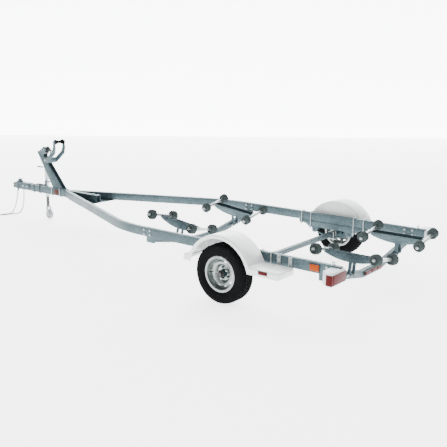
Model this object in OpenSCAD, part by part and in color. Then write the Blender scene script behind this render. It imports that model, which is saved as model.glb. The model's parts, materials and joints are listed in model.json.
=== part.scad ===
// Single-axle roller boat trailer, parked on its tongue jack.
// Millimetres. +X points forward to the coupler, +Y to the left, +Z up.
// The origin is on the ground, at the middle of the trailer's length and width.
// Stations named ..._at are measured forward from the axle, so those behind it are negative.

/* [Overall] */
// Distance from the axle forward to the coupler's nose
nose_reach = 5190; // [4700:10:5600]
// Width across the fenders
overall_width = 2590; // [2500:10:2800]
// Height of the side rails' underside above the ground
rail_base = 430; // [420:5:480]

/* [Side rails and tongue] */
// Height of the rail and tongue tubes
rail_h = 102; // [80:1:125]
// Width of a rail tube
rail_w = 51; // [40:1:62]
// Wall of the rail and tongue tubes
rail_wall = 5; // [4:0.5:6]
// Distance of a rail's centre line from the middle, where the rails run straight
rail_y = 962; // [800:1:980]
// Angle by which the rails turn in towards the tongue
rail_turn = 23; // [18:1:28]
// Radius of the rails' bend, at the centre line
bend_r = 1500; // [1000:10:2000]
// Where the two straight lines of a rail would meet
bend_corner_at = 1640; // [1560:10:1800]
// Rear end of the rails
rail_tail_at = -1165; // [-1400:5:-1120]
// Width of the tongue tube
tongue_w = 76; // [60:1:100]
// Rear end of the tongue tube, between the rails
tongue_rear_at = 3190; // [2900:10:3400]
// Thickness of the plate under the tongue joint
gusset_t = 6; // [4:1:12]

/* [Crossmembers] */
// Height of a crossmember tube
cross_h = 76; // [60:1:90]
// Width of a crossmember tube, along the trailer
cross_w = 51; // [40:1:60]
// Wall of a crossmember tube
cross_wall = 5; // [4:0.5:6]
// Half length of the level middle of a crossmember
cross_flat = 200; // [120:5:260]
// Upward slope of a crossmember's sides
vee = 11; // [7:0.5:13]
// Underside of the middle of a crossmember, above the ground
cross_base = 215; // [200:1:240]
// Thickness of the plates that join a crossmember to the rails
end_plate_t = 8; // [5:1:12]

/* [Roller cradles] */
// Front cradle pivots
front_pivot_at = 1190; // [1100:5:1300]
// Rear cradle pivots
rear_pivot_at = -1042; // [-1100:5:-1000]
// Distance of the cradles from the middle
cradle_y = 540; // [480:5:600]
// Height of a cradle's roller shafts over its pivot
shaft_rise = 205; // [190:1:225]
// Half distance between the two shafts of a cradle
shaft_reach = 315; // [280:1:350]
// Half distance between the two rollers of a pair
roller_gap = 182; // [160:1:200]
// Roller diameter
roller_d = 114; // [100:1:125]
// Roller width
roller_w = 76; // [60:1:90]
// Roller shaft diameter
shaft_d = 19; // [16:0.5:22]
// Nose-up tilt of the front cradles as parked
front_tilt = 7; // [0:0.5:10]
// Width of a cradle beam over its walls
beam_w = 90; // [70:1:110]
// Wall of a cradle beam
beam_wall = 5; // [3:0.5:8]
// Depth of a cradle beam at its middle
beam_depth = 90; // [70:1:100]
// Depth of a cradle beam at its ends
beam_end_depth = 36; // [30:1:50]
// Diameter of a cradle's pivot pin
pivot_d = 20; // [16:0.5:24]

/* [Wheels and axle] */
// Tyre diameter
tyre_d = 600; // [580:2:630]
// Tyre section width
tyre_w = 180; // [155:1:205]
// Bead seat diameter of the rim
rim_d = 330; // [320:1:340]
// Bolt circle of the wheel studs
stud_circle = 114.3; // [100:0.1:130]
// Number of wheel studs
stud_count = 5; // [4:1:6]
// Side of the square axle tube
axle_side = 50; // [40:1:60]
// Spindle diameter
spindle_d = 34; // [28:1:40]
// Radial clearance of every shaft that turns in a bore
run_gap = 0.05; // [0.02:0.01:0.1]

/* [Springs] */
// Half span of a spring between its eyes
spring_reach = 240; // [220:5:250]
// Sag of a spring's middle below its eyes
spring_sag = 50; // [40:1:60]
// Thickness of one spring leaf
leaf_t = 7; // [5:0.5:8]
// Number of spring leaves
leaf_count = 3; // [2:1:4]
// Width of a spring leaf
leaf_w = 44; // [38:1:46]
// Width of a spring channel over its walls
channel_w = 62; // [60:1:70]
// Wall of a spring channel
channel_wall = 5; // [4:0.5:6]

/* [Fenders] */
// Clearance of the fender arch over the tyre
arch_gap = 96; // [60:1:120]
// Width of a fender
fender_w = 265; // [230:1:275]
// Wall of a fender
fender_wall = 5; // [4:0.5:8]
// Height of the fender steps' tops above the ground
step_top = 445; // [440:1:480]
// Height of the fender steps' sides
step_side = 65; // [55:1:90]
// Front end of a fender
fender_nose_at = 440; // [420:5:520]
// Rear end of a fender
fender_tail_at = -700; // [-950:5:-640]
// Height of the rim that hangs round the arch
arch_lip = 32; // [20:1:45]

/* [Coupler and jack] */
// Diameter of the towing ball that the coupler takes
ball_d = 50.8; // [47.6:0.1:60.3]
// Length of the coupler
coupler_len = 440; // [380:5:500]
// Wall of the coupler
coupler_wall = 5; // [4:0.5:8]
// Jack station
jack_at = 4500; // [4400:5:4560]
// Outer diameter of the jack's outer tube
jack_d = 57; // [50:1:64]
// Wall of the jack's outer tube, whose bore takes the leg
jack_wall = 5.4; // [3:0.1:6]
// Play of the jack's leg in its tube, on the diameter
leg_play = 0.2; // [0.1:0.05:1]
// Height of the top of the jack's outer tube
jack_top = 760; // [700:5:820]
// Height of the bottom of the jack's outer tube
jack_foot = 345; // [330:5:360]
// Jack wheel diameter
jack_wheel_d = 150; // [130:2:160]
// Jack wheel width
jack_wheel_w = 42; // [30:1:50]
// Distance by which the jack wheel trails behind the leg
trail = 25; // [10:1:40]

/* [Winch stand] */
// Middle of the winch stand's foot
stand_at = 4045; // [3980:5:4100]
// Length of the winch stand's foot
stand_foot = 230; // [180:5:260]
// Length of the winch stand's top
stand_head = 150; // [120:5:180]
// Width of the winch stand over its walls
stand_w = 76; // [60:1:76]
// Wall of the winch stand
stand_wall = 5; // [4:0.5:8]
// Height of the winch stand's top above the tongue
stand_rise = 500; // [440:5:560]
// Forward lean of the winch stand over its height
stand_lean = 385; // [300:5:430]
// Length of the bow roller
bow_roller_w = 150; // [130:1:180]
// Largest diameter of the bow roller
bow_roller_d = 76; // [64:1:90]
// Smallest diameter of the bow roller
bow_waist_d = 40; // [34:1:50]
// Diameter of the bow roller's shaft
bow_shaft_d = 16; // [12:0.5:20]

/* [Lights] */
// Width of a tail light
light_w = 262; // [220:1:280]
// Height of a tail light
light_h = 122; // [100:1:130]
// Depth of a tail light
light_depth = 110; // [80:1:120]
// Width of the rear light bar
bar_w = 385; // [300:5:395]

/* [Chains] */
// Outside width of a chain link
chain_d = 22; // [16:1:26]

/* [Hidden] */

// Finishes
zinc = [0.66, 0.72, 0.73];
pale_zinc = [0.8, 0.83, 0.84];
black = [0.09, 0.09, 0.1];
rubber = [0.2, 0.2, 0.22];
white = [0.93, 0.93, 0.93];
amber = [0.95, 0.5, 0.12];
red = [0.75, 0.08, 0.08];

fine = 360;
smooth = 96;
small = 32;
eps = 1;

// The axle stands behind the middle of the length
tail_reach = -rear_pivot_at + shaft_reach + roller_d / 2;
axle_x = (tail_reach - nose_reach) / 2;
tyre_r = tyre_d / 2;
rail_top = rail_base + rail_h;
rail_inner_y = rail_y - rail_w / 2;
rail_outer_y = rail_y + rail_w / 2;

// Draws its children at stations measured from the axle
module at_axle() {
    translate([axle_x, 0, 0]) children();
}

module both_sides() {
    children();
    mirror([0, 1, 0]) children();
}

// A bar along Y, drawn about its middle
module bar_y(r, len) {
    rotate([90, 0, 0]) cylinder(r = r, h = len, center = true, $fn = small);
}

// A plate whose outline is given in X and Z, drawn about the plane y
module plate_xz(y, t) {
    translate([0, y + t / 2, 0]) rotate([90, 0, 0]) linear_extrude(t) children();
}

// ---------------------------------------------------------------- rails and tongue

bend_steps = 12;
bend_tangent = bend_r * tan(rail_turn / 2);
// The rail's centre line meets the tongue's side here
taper_run = (rail_y - tongue_w / 2) / tan(rail_turn);
bend_start_at = bend_corner_at - bend_tangent;

// Points of a line beside the rail's centre line, s to its outside
function rail_line(s) = concat(
    [[rail_tail_at, rail_y + s]],
    [for (i = [0 : bend_steps])
        let (a = rail_turn * i / bend_steps)
        [bend_start_at + (bend_r + s) * sin(a), rail_y - bend_r + (bend_r + s) * cos(a)]],
    [[bend_corner_at + taper_run + 2 * rail_w + s * sin(rail_turn),
      rail_y - tan(rail_turn) * (taper_run + 2 * rail_w) + s * cos(rail_turn)]]
);

function reversed(p) = [for (i = [len(p) - 1 : -1 : 0]) p[i]];

module rail_plan(half) {
    intersection() {
        polygon(concat(rail_line(half), reversed(rail_line(-half))));
        translate([rail_tail_at - eps, tongue_w / 2]) square([nose_reach * 2, rail_y * 2]);
    }
}

module rail() {
    at_axle() color(zinc) difference() {
        translate([0, 0, rail_base]) linear_extrude(rail_h) rail_plan(rail_w / 2);
        translate([0, 0, rail_base + rail_wall]) linear_extrude(rail_h - 2 * rail_wall)
            rail_plan(rail_w / 2 - rail_wall);
    }
}

module rail_left() rail();
module rail_right() mirror([0, 1, 0]) rail();

coupler_socket_at = nose_reach - 42;
tongue_front_at = coupler_socket_at - 48;

module tongue() {
    at_axle() color(zinc) difference() {
        translate([tongue_rear_at, -tongue_w / 2, rail_base])
            cube([tongue_front_at - tongue_rear_at, tongue_w, rail_h]);
        translate([tongue_rear_at - eps, -tongue_w / 2 + rail_wall, rail_base + rail_wall])
            cube([tongue_front_at - tongue_rear_at + 2 * eps, tongue_w - 2 * rail_wall, rail_h - 2 * rail_wall]);
    }
}

gusset_len = 560;
gusset_bolt_d = 14;
// Distance of a rail's centre line from the middle, along its taper
function taper_y(at) = rail_y - tan(rail_turn) * (at - bend_corner_at);
gusset_rear_half = taper_y(tongue_rear_at) + rail_w * 0.4;
gusset_front_half = taper_y(tongue_rear_at + gusset_len) + rail_w * 0.4;

module tongue_gusset() {
    at_axle() color(zinc) {
        translate([tongue_rear_at, 0, rail_base - gusset_t]) linear_extrude(gusset_t) polygon([
            [0, -gusset_rear_half], [gusset_len, -gusset_front_half],
            [gusset_len, gusset_front_half], [0, gusset_rear_half]
        ]);
        // Bolt ends below the plate
        for (side = [-1, 1], s = [0.28, 0.56])
            translate([tongue_rear_at + gusset_len * s,
                       side * (gusset_rear_half * (1 - s) + gusset_front_half * s - 30),
                       rail_base - gusset_t - gusset_bolt_d])
                cylinder(d = gusset_bolt_d, h = gusset_bolt_d, $fn = small);
    }
}

// ---------------------------------------------------------------- crossmembers

cross_gap = 34;
cross_lead = cross_gap + cross_w / 2;
cross_end_y = rail_inner_y - end_plate_t;
cross_side_rise = (cross_end_y - cross_flat) * tan(vee);

// Outline of a crossmember in Y and Z, grown inwards by inset
module cross_outline(inset) {
    low = cross_base + inset;
    high = cross_base + cross_h - inset;
    polygon([
        [-cross_end_y, low + cross_side_rise], [-cross_flat, low], [cross_flat, low],
        [cross_end_y, low + cross_side_rise], [cross_end_y, high + cross_side_rise],
        [cross_flat, high], [-cross_flat, high], [-cross_end_y, high + cross_side_rise]
    ]);
}

module prism_x(x0, depth) {
    translate([x0, 0, 0]) rotate([90, 0, 90]) linear_extrude(depth) children();
}

plate_len = 130;

module crossmember(at) {
    at_axle() translate([at, 0, 0]) color(zinc) {
        difference() {
            prism_x(-cross_w / 2, cross_w) cross_outline(0);
            prism_x(-cross_w / 2 + cross_wall, cross_w - 2 * cross_wall) intersection() {
                cross_outline(cross_wall);
                square([2 * (cross_end_y - cross_wall), 4 * rail_base], center = true);
            }
        }
        // Plates that hang on the rails' inner faces
        both_sides() translate([-plate_len / 2, cross_end_y, cross_base + cross_side_rise - 8])
            cube([plate_len, end_plate_t, rail_top - 10 - (cross_base + cross_side_rise - 8)]);
    }
}

front_cross_at = front_pivot_at + cross_lead;
rear_cross_at = rear_pivot_at + cross_lead;
module front_crossmember() crossmember(front_cross_at);
module rear_crossmember() crossmember(rear_cross_at);

// ---------------------------------------------------------------- roller cradles

// Middle height of a crossmember at the cradles
pivot_z = cross_base + cross_h / 2 + (cradle_y - cross_flat) * tan(vee) + 10;
pivot_tube_r = pivot_d / 2 + 7;
pivot_tube_len = beam_w - 2 * beam_wall - 2 * 2;

// Puts a cradle's own frame, x forward and y out along the crossmember, on the trailer
module at_pivot(side, at) {
    at_axle() mirror([0, side < 0 ? 1 : 0, 0])
        translate([at, cradle_y, pivot_z]) rotate([vee, 0, 0]) children();
}

module cradle_pivots() {
    color(zinc) for (side = [-1, 1], at = [front_pivot_at, rear_pivot_at])
        at_pivot(side, at) difference() {
            union() {
                bar_y(pivot_tube_r, pivot_tube_len);
                translate([0, -pivot_tube_len / 2, -9]) cube([cross_gap, pivot_tube_len, 18]);
            }
            bar_y(pivot_d / 2 + run_gap, pivot_tube_len + 2 * eps);
        }
}

beam_top = shaft_rise + 8;
beam_half = shaft_reach - 26;
beam_bow = beam_depth - beam_end_depth;
beam_r = (beam_half * beam_half + beam_bow * beam_bow) / (2 * beam_bow);
cheek_r = 21;
cheek_w = 36;

// Side view of a cradle beam, thinned from below by inset
module beam_outline(inset) {
    intersection() {
        translate([0, beam_top - beam_depth + beam_r]) circle(r = beam_r - inset, $fn = 360);
        translate([-beam_half, beam_top - beam_depth - eps])
            square([2 * beam_half, beam_depth + eps]);
    }
}

module cradle_beam() {
    color(zinc) {
        for (y = [-1, 1]) difference() {
            plate_xz(y * (beam_w - beam_wall) / 2, beam_wall) union() {
                beam_outline(0);
                translate([-cheek_w / 2, 0]) square([cheek_w, beam_top - beam_depth / 2]);
                circle(r = cheek_r, $fn = small);
            }
            translate([0, y * beam_w / 2, 0]) bar_y(pivot_d / 2, beam_w / 2);
        }
        plate_xz(0, beam_w - 2 * beam_wall) difference() {
            beam_outline(0);
            beam_outline(beam_wall);
        }
        // The pin, with its heads outside the cheeks
        bar_y(pivot_d / 2, beam_w + 2 * 10);
        for (y = [-1, 1]) translate([0, y * (beam_w / 2 + 3), 0]) bar_y(pivot_d * 0.75, 6);
    }
}

shaft_end = roller_gap + roller_w / 2 + 16;
arm_r = 16;
arm_half = roller_gap - roller_w / 2 - 8;

// A roller shaft with the tube and bracket that hold it on the beam's end
module arm() {
    difference() {
        union() {
            bar_y(arm_r, 2 * arm_half);
            // End plate on the beam, and the lug between it and the tube
            translate([beam_half - shaft_reach, -beam_w / 2, 8 - beam_end_depth])
                cube([8, beam_w, beam_end_depth]);
            translate([beam_half - shaft_reach, -24, -14]) cube([shaft_reach - beam_half, 48, 28]);
        }
        bar_y(shaft_d / 2, 4 * arm_half);
    }
    bar_y(shaft_d / 2, 2 * shaft_end);
    for (y = [-1, 1]) translate([0, y * (shaft_end - 4), 0]) bar_y(shaft_d / 2 + 5, 8);
}

module cradle_arms() {
    color(pale_zinc) for (m = [0, 1]) mirror([m, 0, 0]) translate([shaft_reach, 0, shaft_rise]) arm();
}

crown = 4;

module roller() {
    rotate([90, 0, 0]) rotate_extrude($fn = smooth) polygon([
        [shaft_d / 2 + run_gap, -roller_w / 2], [roller_d * 0.24, -roller_w / 2],
        [roller_d * 0.27, -roller_w / 2 + 6], [roller_d * 0.37, -roller_w / 2 + 6],
        [roller_d * 0.4, -roller_w / 2], [roller_d / 2 - 8, -roller_w / 2],
        [roller_d / 2 - crown / 2, -roller_w / 2 + 8], [roller_d / 2, -roller_w / 4],
        [roller_d / 2, roller_w / 4], [roller_d / 2 - crown / 2, roller_w / 2 - 8],
        [roller_d / 2 - 8, roller_w / 2], [roller_d * 0.4, roller_w / 2],
        [roller_d * 0.37, roller_w / 2 - 6], [roller_d * 0.27, roller_w / 2 - 6],
        [roller_d * 0.24, roller_w / 2], [shaft_d / 2 + run_gap, roller_w / 2]
    ]);
}

module roller_pair() {
    color(rubber) for (y = [-1, 1]) translate([0, y * roller_gap, 0]) roller();
}

// Places a cradle's pieces; the front pair is parked nose-up
module on_cradle(side, at) {
    at_pivot(side, at) rotate([0, at > 0 ? -front_tilt : 0, 0]) children();
}

module rollers_at(side, at, end) {
    on_cradle(side, at) translate([end * shaft_reach, 0, shaft_rise]) roller_pair();
}

module cradle_front_left() on_cradle(1, front_pivot_at) cradle_beam();
module cradle_front_right() on_cradle(-1, front_pivot_at) cradle_beam();
module cradle_rear_left() on_cradle(1, rear_pivot_at) cradle_beam();
module cradle_rear_right() on_cradle(-1, rear_pivot_at) cradle_beam();
module arms_front_left() on_cradle(1, front_pivot_at) cradle_arms();
module arms_front_right() on_cradle(-1, front_pivot_at) cradle_arms();
module arms_rear_left() on_cradle(1, rear_pivot_at) cradle_arms();
module arms_rear_right() on_cradle(-1, rear_pivot_at) cradle_arms();

// ---------------------------------------------------------------- axle, springs, wheels

wheel_y = overall_width / 2 - tyre_w / 2 - 27;
axle_half = wheel_y - 105;
spring_y = rail_y;
axle_z = tyre_r;
axle_low = axle_z - axle_side / 2;
hub_depth = 62;

axle_wall = 7;
// Solid ends of the axle tube, and the spindles' reach past the wheels' middles
axle_plug = 30;
spindle_past = 22;
spindle_end = wheel_y + spindle_past;

module axle() {
    at_axle() color(zinc) {
        difference() {
            translate([-axle_side / 2, -axle_half, axle_low]) cube([axle_side, 2 * axle_half, axle_side]);
            translate([-axle_side / 2 + axle_wall, -axle_half + axle_plug, axle_low + axle_wall])
                cube([axle_side - 2 * axle_wall, 2 * (axle_half - axle_plug), axle_side - 2 * axle_wall]);
        }
        both_sides() translate([0, (axle_half + spindle_end) / 2, axle_z])
            bar_y(spindle_d / 2, spindle_end - axle_half);
    }
}

spring_top_r = (spring_reach * spring_reach + spring_sag * spring_sag) / (2 * spring_sag);
eye_r = 15;
eye_pin_r = 7;
eye_drop = 6;
eye_z = axle_low + spring_sag - eye_drop;
// The curved leaves touch the flat axle at its lower edges
seat_gap = 0.05;
seat_drop = spring_top_r - sqrt(pow(spring_top_r, 2) - pow(axle_side / 2, 2)) + seat_gap;
leaf_step = 60;

module leaf(k) {
    reach = spring_reach - leaf_step * k;
    intersection() {
        translate([0, axle_low - seat_drop + spring_top_r]) difference() {
            circle(r = spring_top_r + leaf_t * (k + 1), $fn = fine);
            circle(r = spring_top_r + leaf_t * k, $fn = fine);
        }
        translate([-reach, axle_low - leaf_t * (leaf_count + 1)]) square([2 * reach, 4 * spring_sag]);
    }
}

module leaf_springs() {
    at_axle() color(zinc) both_sides() plate_xz(spring_y, leaf_w) difference() {
        union() {
            for (k = [0 : leaf_count - 1]) leaf(k);
            for (s = [-1, 1]) translate([s * spring_reach, eye_z]) circle(r = eye_r, $fn = small);
        }
        for (s = [-1, 1]) translate([s * spring_reach, eye_z]) circle(r = eye_pin_r, $fn = small);
    }
}

channel_depth = 74;
channel_past = 220;
channel_end_depth = 34;
channel_slope = 75;
hanger_depth = 26;
hanger_half = 28;
// Outer and inner ends of the channel's deep parts, from an eye
deep_outer = 80;
deep_inner = 60;
hanger_outer = 38;
eye_bolt_past = 8;
eye_head_r = 12;
hanger_low = eye_z - hanger_depth;
channel_low = rail_base - channel_depth;
channel_reach = spring_reach + channel_past;
channel_shallow = rail_base - channel_end_depth;

module spring_channels() {
    at_axle() color(zinc) both_sides() {
        difference() {
            plate_xz(spring_y, channel_w) for (s = [-1, 1]) polygon([
                [0, rail_base], [s * channel_reach, rail_base], [s * channel_reach, channel_shallow],
                [s * (channel_reach - channel_slope), channel_shallow], [s * (spring_reach + deep_outer), channel_low],
                [s * (spring_reach + hanger_outer), channel_low], [s * (spring_reach + hanger_half), hanger_low],
                [s * (spring_reach - hanger_half), hanger_low], [s * (spring_reach - deep_inner), channel_low],
                [0, channel_low]
            ]);
            plate_xz(spring_y, channel_w - 2 * channel_wall)
                translate([-channel_reach - eps, hanger_low - eps])
                    square([2 * channel_reach + 2 * eps, rail_base - channel_wall - hanger_low + eps]);
            for (s = [-1, 1]) translate([s * spring_reach, spring_y, eye_z]) bar_y(eye_pin_r, 2 * channel_w);
        }
        // Eye bolts
        for (s = [-1, 1]) translate([s * spring_reach, spring_y, eye_z]) {
            bar_y(eye_pin_r, channel_w + 2 * eye_bolt_past);
            for (y = [-1, 1]) translate([0, y * (channel_w + eye_bolt_past) / 2, 0])
                bar_y(eye_head_r, eye_bolt_past);
        }
    }
}

clamp_rod_r = 5;
clamp_gap = 0.5;
clamp_plate_t = 6;
clamp_end = 16;
pack_low = axle_low - seat_drop - leaf_t * leaf_count;
seat_plate = [120, 96, 8];
seat_rod_x = axle_side / 2 + clamp_rod_r + 1;
seat_rod_y = leaf_w / 2 + clamp_rod_r + 2;
seat_rod_low = pack_low - 20;

// A U-shaped rod whose legs hang down from over a block
module u_bolt(half, top, low) {
    for (s = [-1, 1]) translate([0, s * half, low])
        cylinder(r = clamp_rod_r, h = top + clamp_rod_r - low, $fn = small);
    translate([0, 0, top + clamp_rod_r]) bar_y(clamp_rod_r, 2 * half + 2 * clamp_rod_r);
}

module axle_clamps() {
    at_axle() color(pale_zinc) both_sides() translate([0, spring_y, 0]) {
        difference() {
            translate([-seat_plate[0] / 2, -seat_plate[1] / 2, pack_low - seat_plate[2]]) cube(seat_plate);
            for (x = [-1, 1], y = [-1, 1]) translate([x * seat_rod_x, y * seat_rod_y, seat_rod_low])
                cylinder(r = clamp_rod_r, h = pack_low - seat_rod_low + eps, $fn = small);
        }
        for (x = [-1, 1], y = [-1, 1]) translate([x * seat_rod_x, y * seat_rod_y, seat_rod_low])
            cylinder(r = clamp_rod_r, h = axle_low + axle_side - seat_rod_low, $fn = small);
        for (y = [-1, 1])
            translate([-seat_rod_x - clamp_rod_r, y * seat_rod_y - clamp_rod_r, axle_low + axle_side])
                cube([2 * (seat_rod_x + clamp_rod_r), 2 * clamp_rod_r, clamp_plate_t]);
    }
}

clamp_half = channel_w / 2 + clamp_rod_r + clamp_gap;
clamp_plate_w = 20;
clamp_plate_past = 12;
stand_clamps_at = [stand_at - stand_foot / 2 + 78, stand_at + stand_foot / 2 + 32];
// Distances of the clamps from the spring eyes and from the channels' ends
inner_clamp_at = 55;
end_clamp_in = 35;
tongue_clamp_y = tongue_w / 2 + clamp_rod_r + clamp_gap;

// One clamp round a rail and its spring channel, closed by a plate under the channel
module frame_clamp(low) {
    u_bolt(clamp_half, rail_top, low - clamp_plate_t - clamp_end);
    translate([-clamp_plate_w / 2, -clamp_half - clamp_plate_past, low - clamp_plate_t])
        cube([clamp_plate_w, 2 * (clamp_half + clamp_plate_past), clamp_plate_t]);
}

module frame_clamps() {
    at_axle() color(pale_zinc) {
        both_sides() for (s = [-1, 1]) {
            translate([s * (spring_reach + inner_clamp_at), spring_y, 0]) frame_clamp(channel_low);
            translate([s * (channel_reach - end_clamp_in), spring_y, 0]) frame_clamp(channel_shallow);
        }
        // Clamps that hold the winch stand's foot on the tongue
        for (x = stand_clamps_at) translate([x, 0, rail_base - clamp_rod_r]) {
            for (s = [-1, 1]) translate([0, s * tongue_clamp_y, 0])
                cylinder(r = clamp_rod_r, h = rail_h + clamp_rod_r, $fn = small);
            bar_y(clamp_rod_r, 2 * (tongue_clamp_y + clamp_rod_r));
        }
    }
}

bead_r = rim_d / 2;
flange_r = bead_r + 17.5;
rim_half = 76;
hub_pilot_r = 42;

module tyre() {
    w = tyre_w / 2;
    rotate([90, 0, 0]) rotate_extrude($fn = 180) polygon([
        [bead_r, -rim_half + 8], [flange_r + 4, -rim_half + 8], [flange_r + 12, -rim_half - 2],
        [tyre_r * 0.74, -w * 0.97], [tyre_r * 0.82, -w], [tyre_r * 0.9, -w * 0.95],
        [tyre_r * 0.965, -w * 0.83], [tyre_r * 0.99, -w * 0.7], [tyre_r, -w * 0.4],
        [tyre_r, w * 0.4], [tyre_r * 0.99, w * 0.7], [tyre_r * 0.965, w * 0.83],
        [tyre_r * 0.9, w * 0.95], [tyre_r * 0.82, w], [tyre_r * 0.74, w * 0.97],
        [flange_r + 12, rim_half + 2], [flange_r + 4, rim_half - 8], [bead_r, rim_half - 8]
    ]);
}

slot_count = 10;
slot_r = bead_r - 38;
lug_hole_r = 7;
disc_t = 5;

module rim() {
    difference() {
        rotate([90, 0, 0]) mirror([0, 0, 1]) rotate_extrude($fn = 180) union() {
            // Barrel and flanges
            polygon([
                [bead_r - 5, -rim_half], [flange_r, -rim_half], [flange_r, -rim_half + 5],
                [bead_r, -rim_half + 5], [bead_r, rim_half - 5], [flange_r, rim_half - 5],
                [flange_r, rim_half], [bead_r - 5, rim_half]
            ]);
            // Dished centre
            polygon([
                [hub_pilot_r, 0], [78, 0], [98, 26], [118, 32], [bead_r - 22, 20], [bead_r - 2, 16],
                [bead_r - 2, 16 + disc_t], [bead_r - 22, 20 + disc_t + 1], [118, 32 + disc_t + 1],
                [96, 26 + disc_t + 1], [75, disc_t], [hub_pilot_r, disc_t]
            ]);
        }
        for (i = [0 : slot_count - 1]) rotate([0, i * 360 / slot_count, 0]) translate([slot_r, 0, 0]) {
            translate([-6, 0, -12]) cube([12, 2 * rim_half, 24]);
            for (s = [-1, 1]) translate([0, rim_half, s * 12]) bar_y(6, 2 * rim_half);
        }
        for (i = [0 : stud_count - 1]) rotate([0, i * 360 / stud_count, 0])
            translate([stud_circle / 2, 0, 0]) bar_y(lug_hole_r, 4 * disc_t);
    }
}

module hub() {
    difference() {
        union() {
            translate([0, -hub_depth / 2, 0]) bar_y(50, hub_depth);
            translate([0, -6, 0]) rotate([90, 0, 0]) cylinder(r = 76, h = 12, center = true, $fn = smooth);
            translate([0, 27, 0]) bar_y(33, 54);
            for (i = [0 : stud_count - 1]) rotate([0, i * 360 / stud_count, 0])
                translate([stud_circle / 2, 0, 0]) {
                    translate([0, disc_t + 9, 0]) rotate([90, 0, 0])
                        cylinder(r = 11.5, h = 18, center = true, $fn = 6);
                    translate([0, 14, 0]) bar_y(6, 30);
                }
        }
        translate([0, -hub_depth / 2 + 12, 0]) bar_y(spindle_d / 2 + run_gap, hub_depth + 26);
    }
}

module on_wheel(side) {
    at_axle() mirror([0, side < 0 ? 1 : 0, 0]) translate([0, wheel_y, axle_z]) children();
}

module tyre_left() on_wheel(1) color(black) tyre();
module tyre_right() on_wheel(-1) color(black) tyre();
module rim_left() on_wheel(1) color(pale_zinc) rim();
module rim_right() on_wheel(-1) color(pale_zinc) rim();
module hub_left() on_wheel(1) color(zinc) hub();
module hub_right() on_wheel(-1) color(zinc) hub();

// ---------------------------------------------------------------- fenders

arch_r = tyre_r + arch_gap;
// The marker lamps stand out of the fenders
marker_t = 8;
fender_outer_y = overall_width / 2 - marker_t;
fender_inner_y = fender_outer_y - fender_w;
fender_low = step_top - step_side;

fender_mid_y = (fender_inner_y + fender_outer_y) / 2;

// Side views of a fender's arch and steps, inset by its wall
module arch_outline(inset) {
    intersection() {
        translate([0, axle_z]) circle(r = arch_r - inset, $fn = smooth);
        translate([-arch_r, step_top - inset - eps]) square([2 * arch_r, arch_r]);
    }
}

module step_outline(inset) {
    translate([fender_tail_at + inset, fender_low])
        square([fender_nose_at - fender_tail_at - 2 * inset, step_side - inset]);
}

module fender() {
    at_axle() color(white) {
        difference() {
            plate_xz(fender_mid_y, fender_w) union() {
                arch_outline(0);
                step_outline(0);
            }
            // The arch is closed on both sides, the steps are open below and on the rail's side
            plate_xz(fender_mid_y, fender_w - 2 * fender_wall) arch_outline(fender_wall);
            plate_xz(fender_mid_y - fender_wall, fender_w) union() {
                step_outline(fender_wall);
                translate([fender_tail_at + fender_wall, fender_low - eps])
                    square([fender_nose_at - fender_tail_at - 2 * fender_wall, step_side / 2]);
            }
            // Wheel opening in the outer side
            plate_xz(fender_outer_y, 4 * fender_wall) translate([0, axle_z])
                circle(r = arch_r - arch_lip, $fn = smooth);
        }
    }
}

module fender_left() fender();
module fender_right() mirror([0, 1, 0]) fender();

// Brackets from the rails out under the fenders' steps
bracket_at = [fender_nose_at - 50, fender_tail_at + 190, fender_tail_at + 60];
bracket_w = 40;
bracket_t = 6;
bracket_in = 2;
bracket_reach = fender_outer_y - fender_wall - 60 - rail_outer_y;

module fender_brackets() {
    at_axle() color(pale_zinc) both_sides() for (x = bracket_at) translate([x - bracket_w / 2, rail_outer_y, 0]) {
        translate([0, 0, rail_base + bracket_in]) cube([bracket_w, bracket_t, rail_h - 2 * bracket_in]);
        translate([0, 0, step_top - fender_wall - bracket_t]) cube([bracket_w, bracket_reach, bracket_t]);
    }
}

// ---------------------------------------------------------------- coupler

coupler_rear_at = nose_reach - coupler_len;
coupler_half = tongue_w / 2 + coupler_wall;
coupler_top = rail_top + coupler_wall;
socket_z = rail_base + 44;
socket_r = ball_d / 2 + 0.6;
nose_r = 42;

// Eyes for the chains, on the coupler's sides
chain_eye_at = nose_reach - 160;
eye_plate = [32, 6, 72];
eye_plate_low = rail_base - 22;
eye_hole_z = rail_base - 10;
eye_hole_r = 7;
coupler_skirt_z = rail_base + 30;
neck_low = rail_base + 8;
neck_h = coupler_top - coupler_skirt_z;

module coupler() {
    at_axle() color(zinc) difference() {
        union() {
            // Channel over the tongue's front end
            difference() {
                translate([coupler_rear_at, -coupler_half, coupler_skirt_z])
                    cube([tongue_front_at - coupler_rear_at, 2 * coupler_half, neck_h]);
                translate([coupler_rear_at - eps, -tongue_w / 2, rail_base])
                    cube([coupler_len, tongue_w, rail_h]);
            }
            // Tapered neck down to the socket
            translate([0, 0, neck_low]) linear_extrude(neck_h) polygon([
                [tongue_front_at, -coupler_half], [coupler_socket_at, -nose_r + 1],
                [coupler_socket_at, nose_r - 1], [tongue_front_at, coupler_half]
            ]);
            translate([coupler_socket_at, 0, neck_low]) cylinder(r = nose_r, h = neck_h, $fn = smooth);
            // Eyes for the chains
            both_sides() difference() {
                translate([chain_eye_at - eye_plate[0] / 2, coupler_half, eye_plate_low]) cube(eye_plate);
                translate([chain_eye_at, coupler_half, eye_hole_z]) bar_y(eye_hole_r, 4 * eye_plate[1]);
            }
        }
        translate([coupler_socket_at, 0, socket_z]) sphere(r = socket_r, $fn = smooth);
        translate([coupler_socket_at, 0, rail_base - 20])
            cylinder(r = socket_r - 0.8, h = socket_z - rail_base + 20, $fn = smooth);
    }
}

latch_hole_r = 4;
latch_at = coupler_socket_at - 118;

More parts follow.
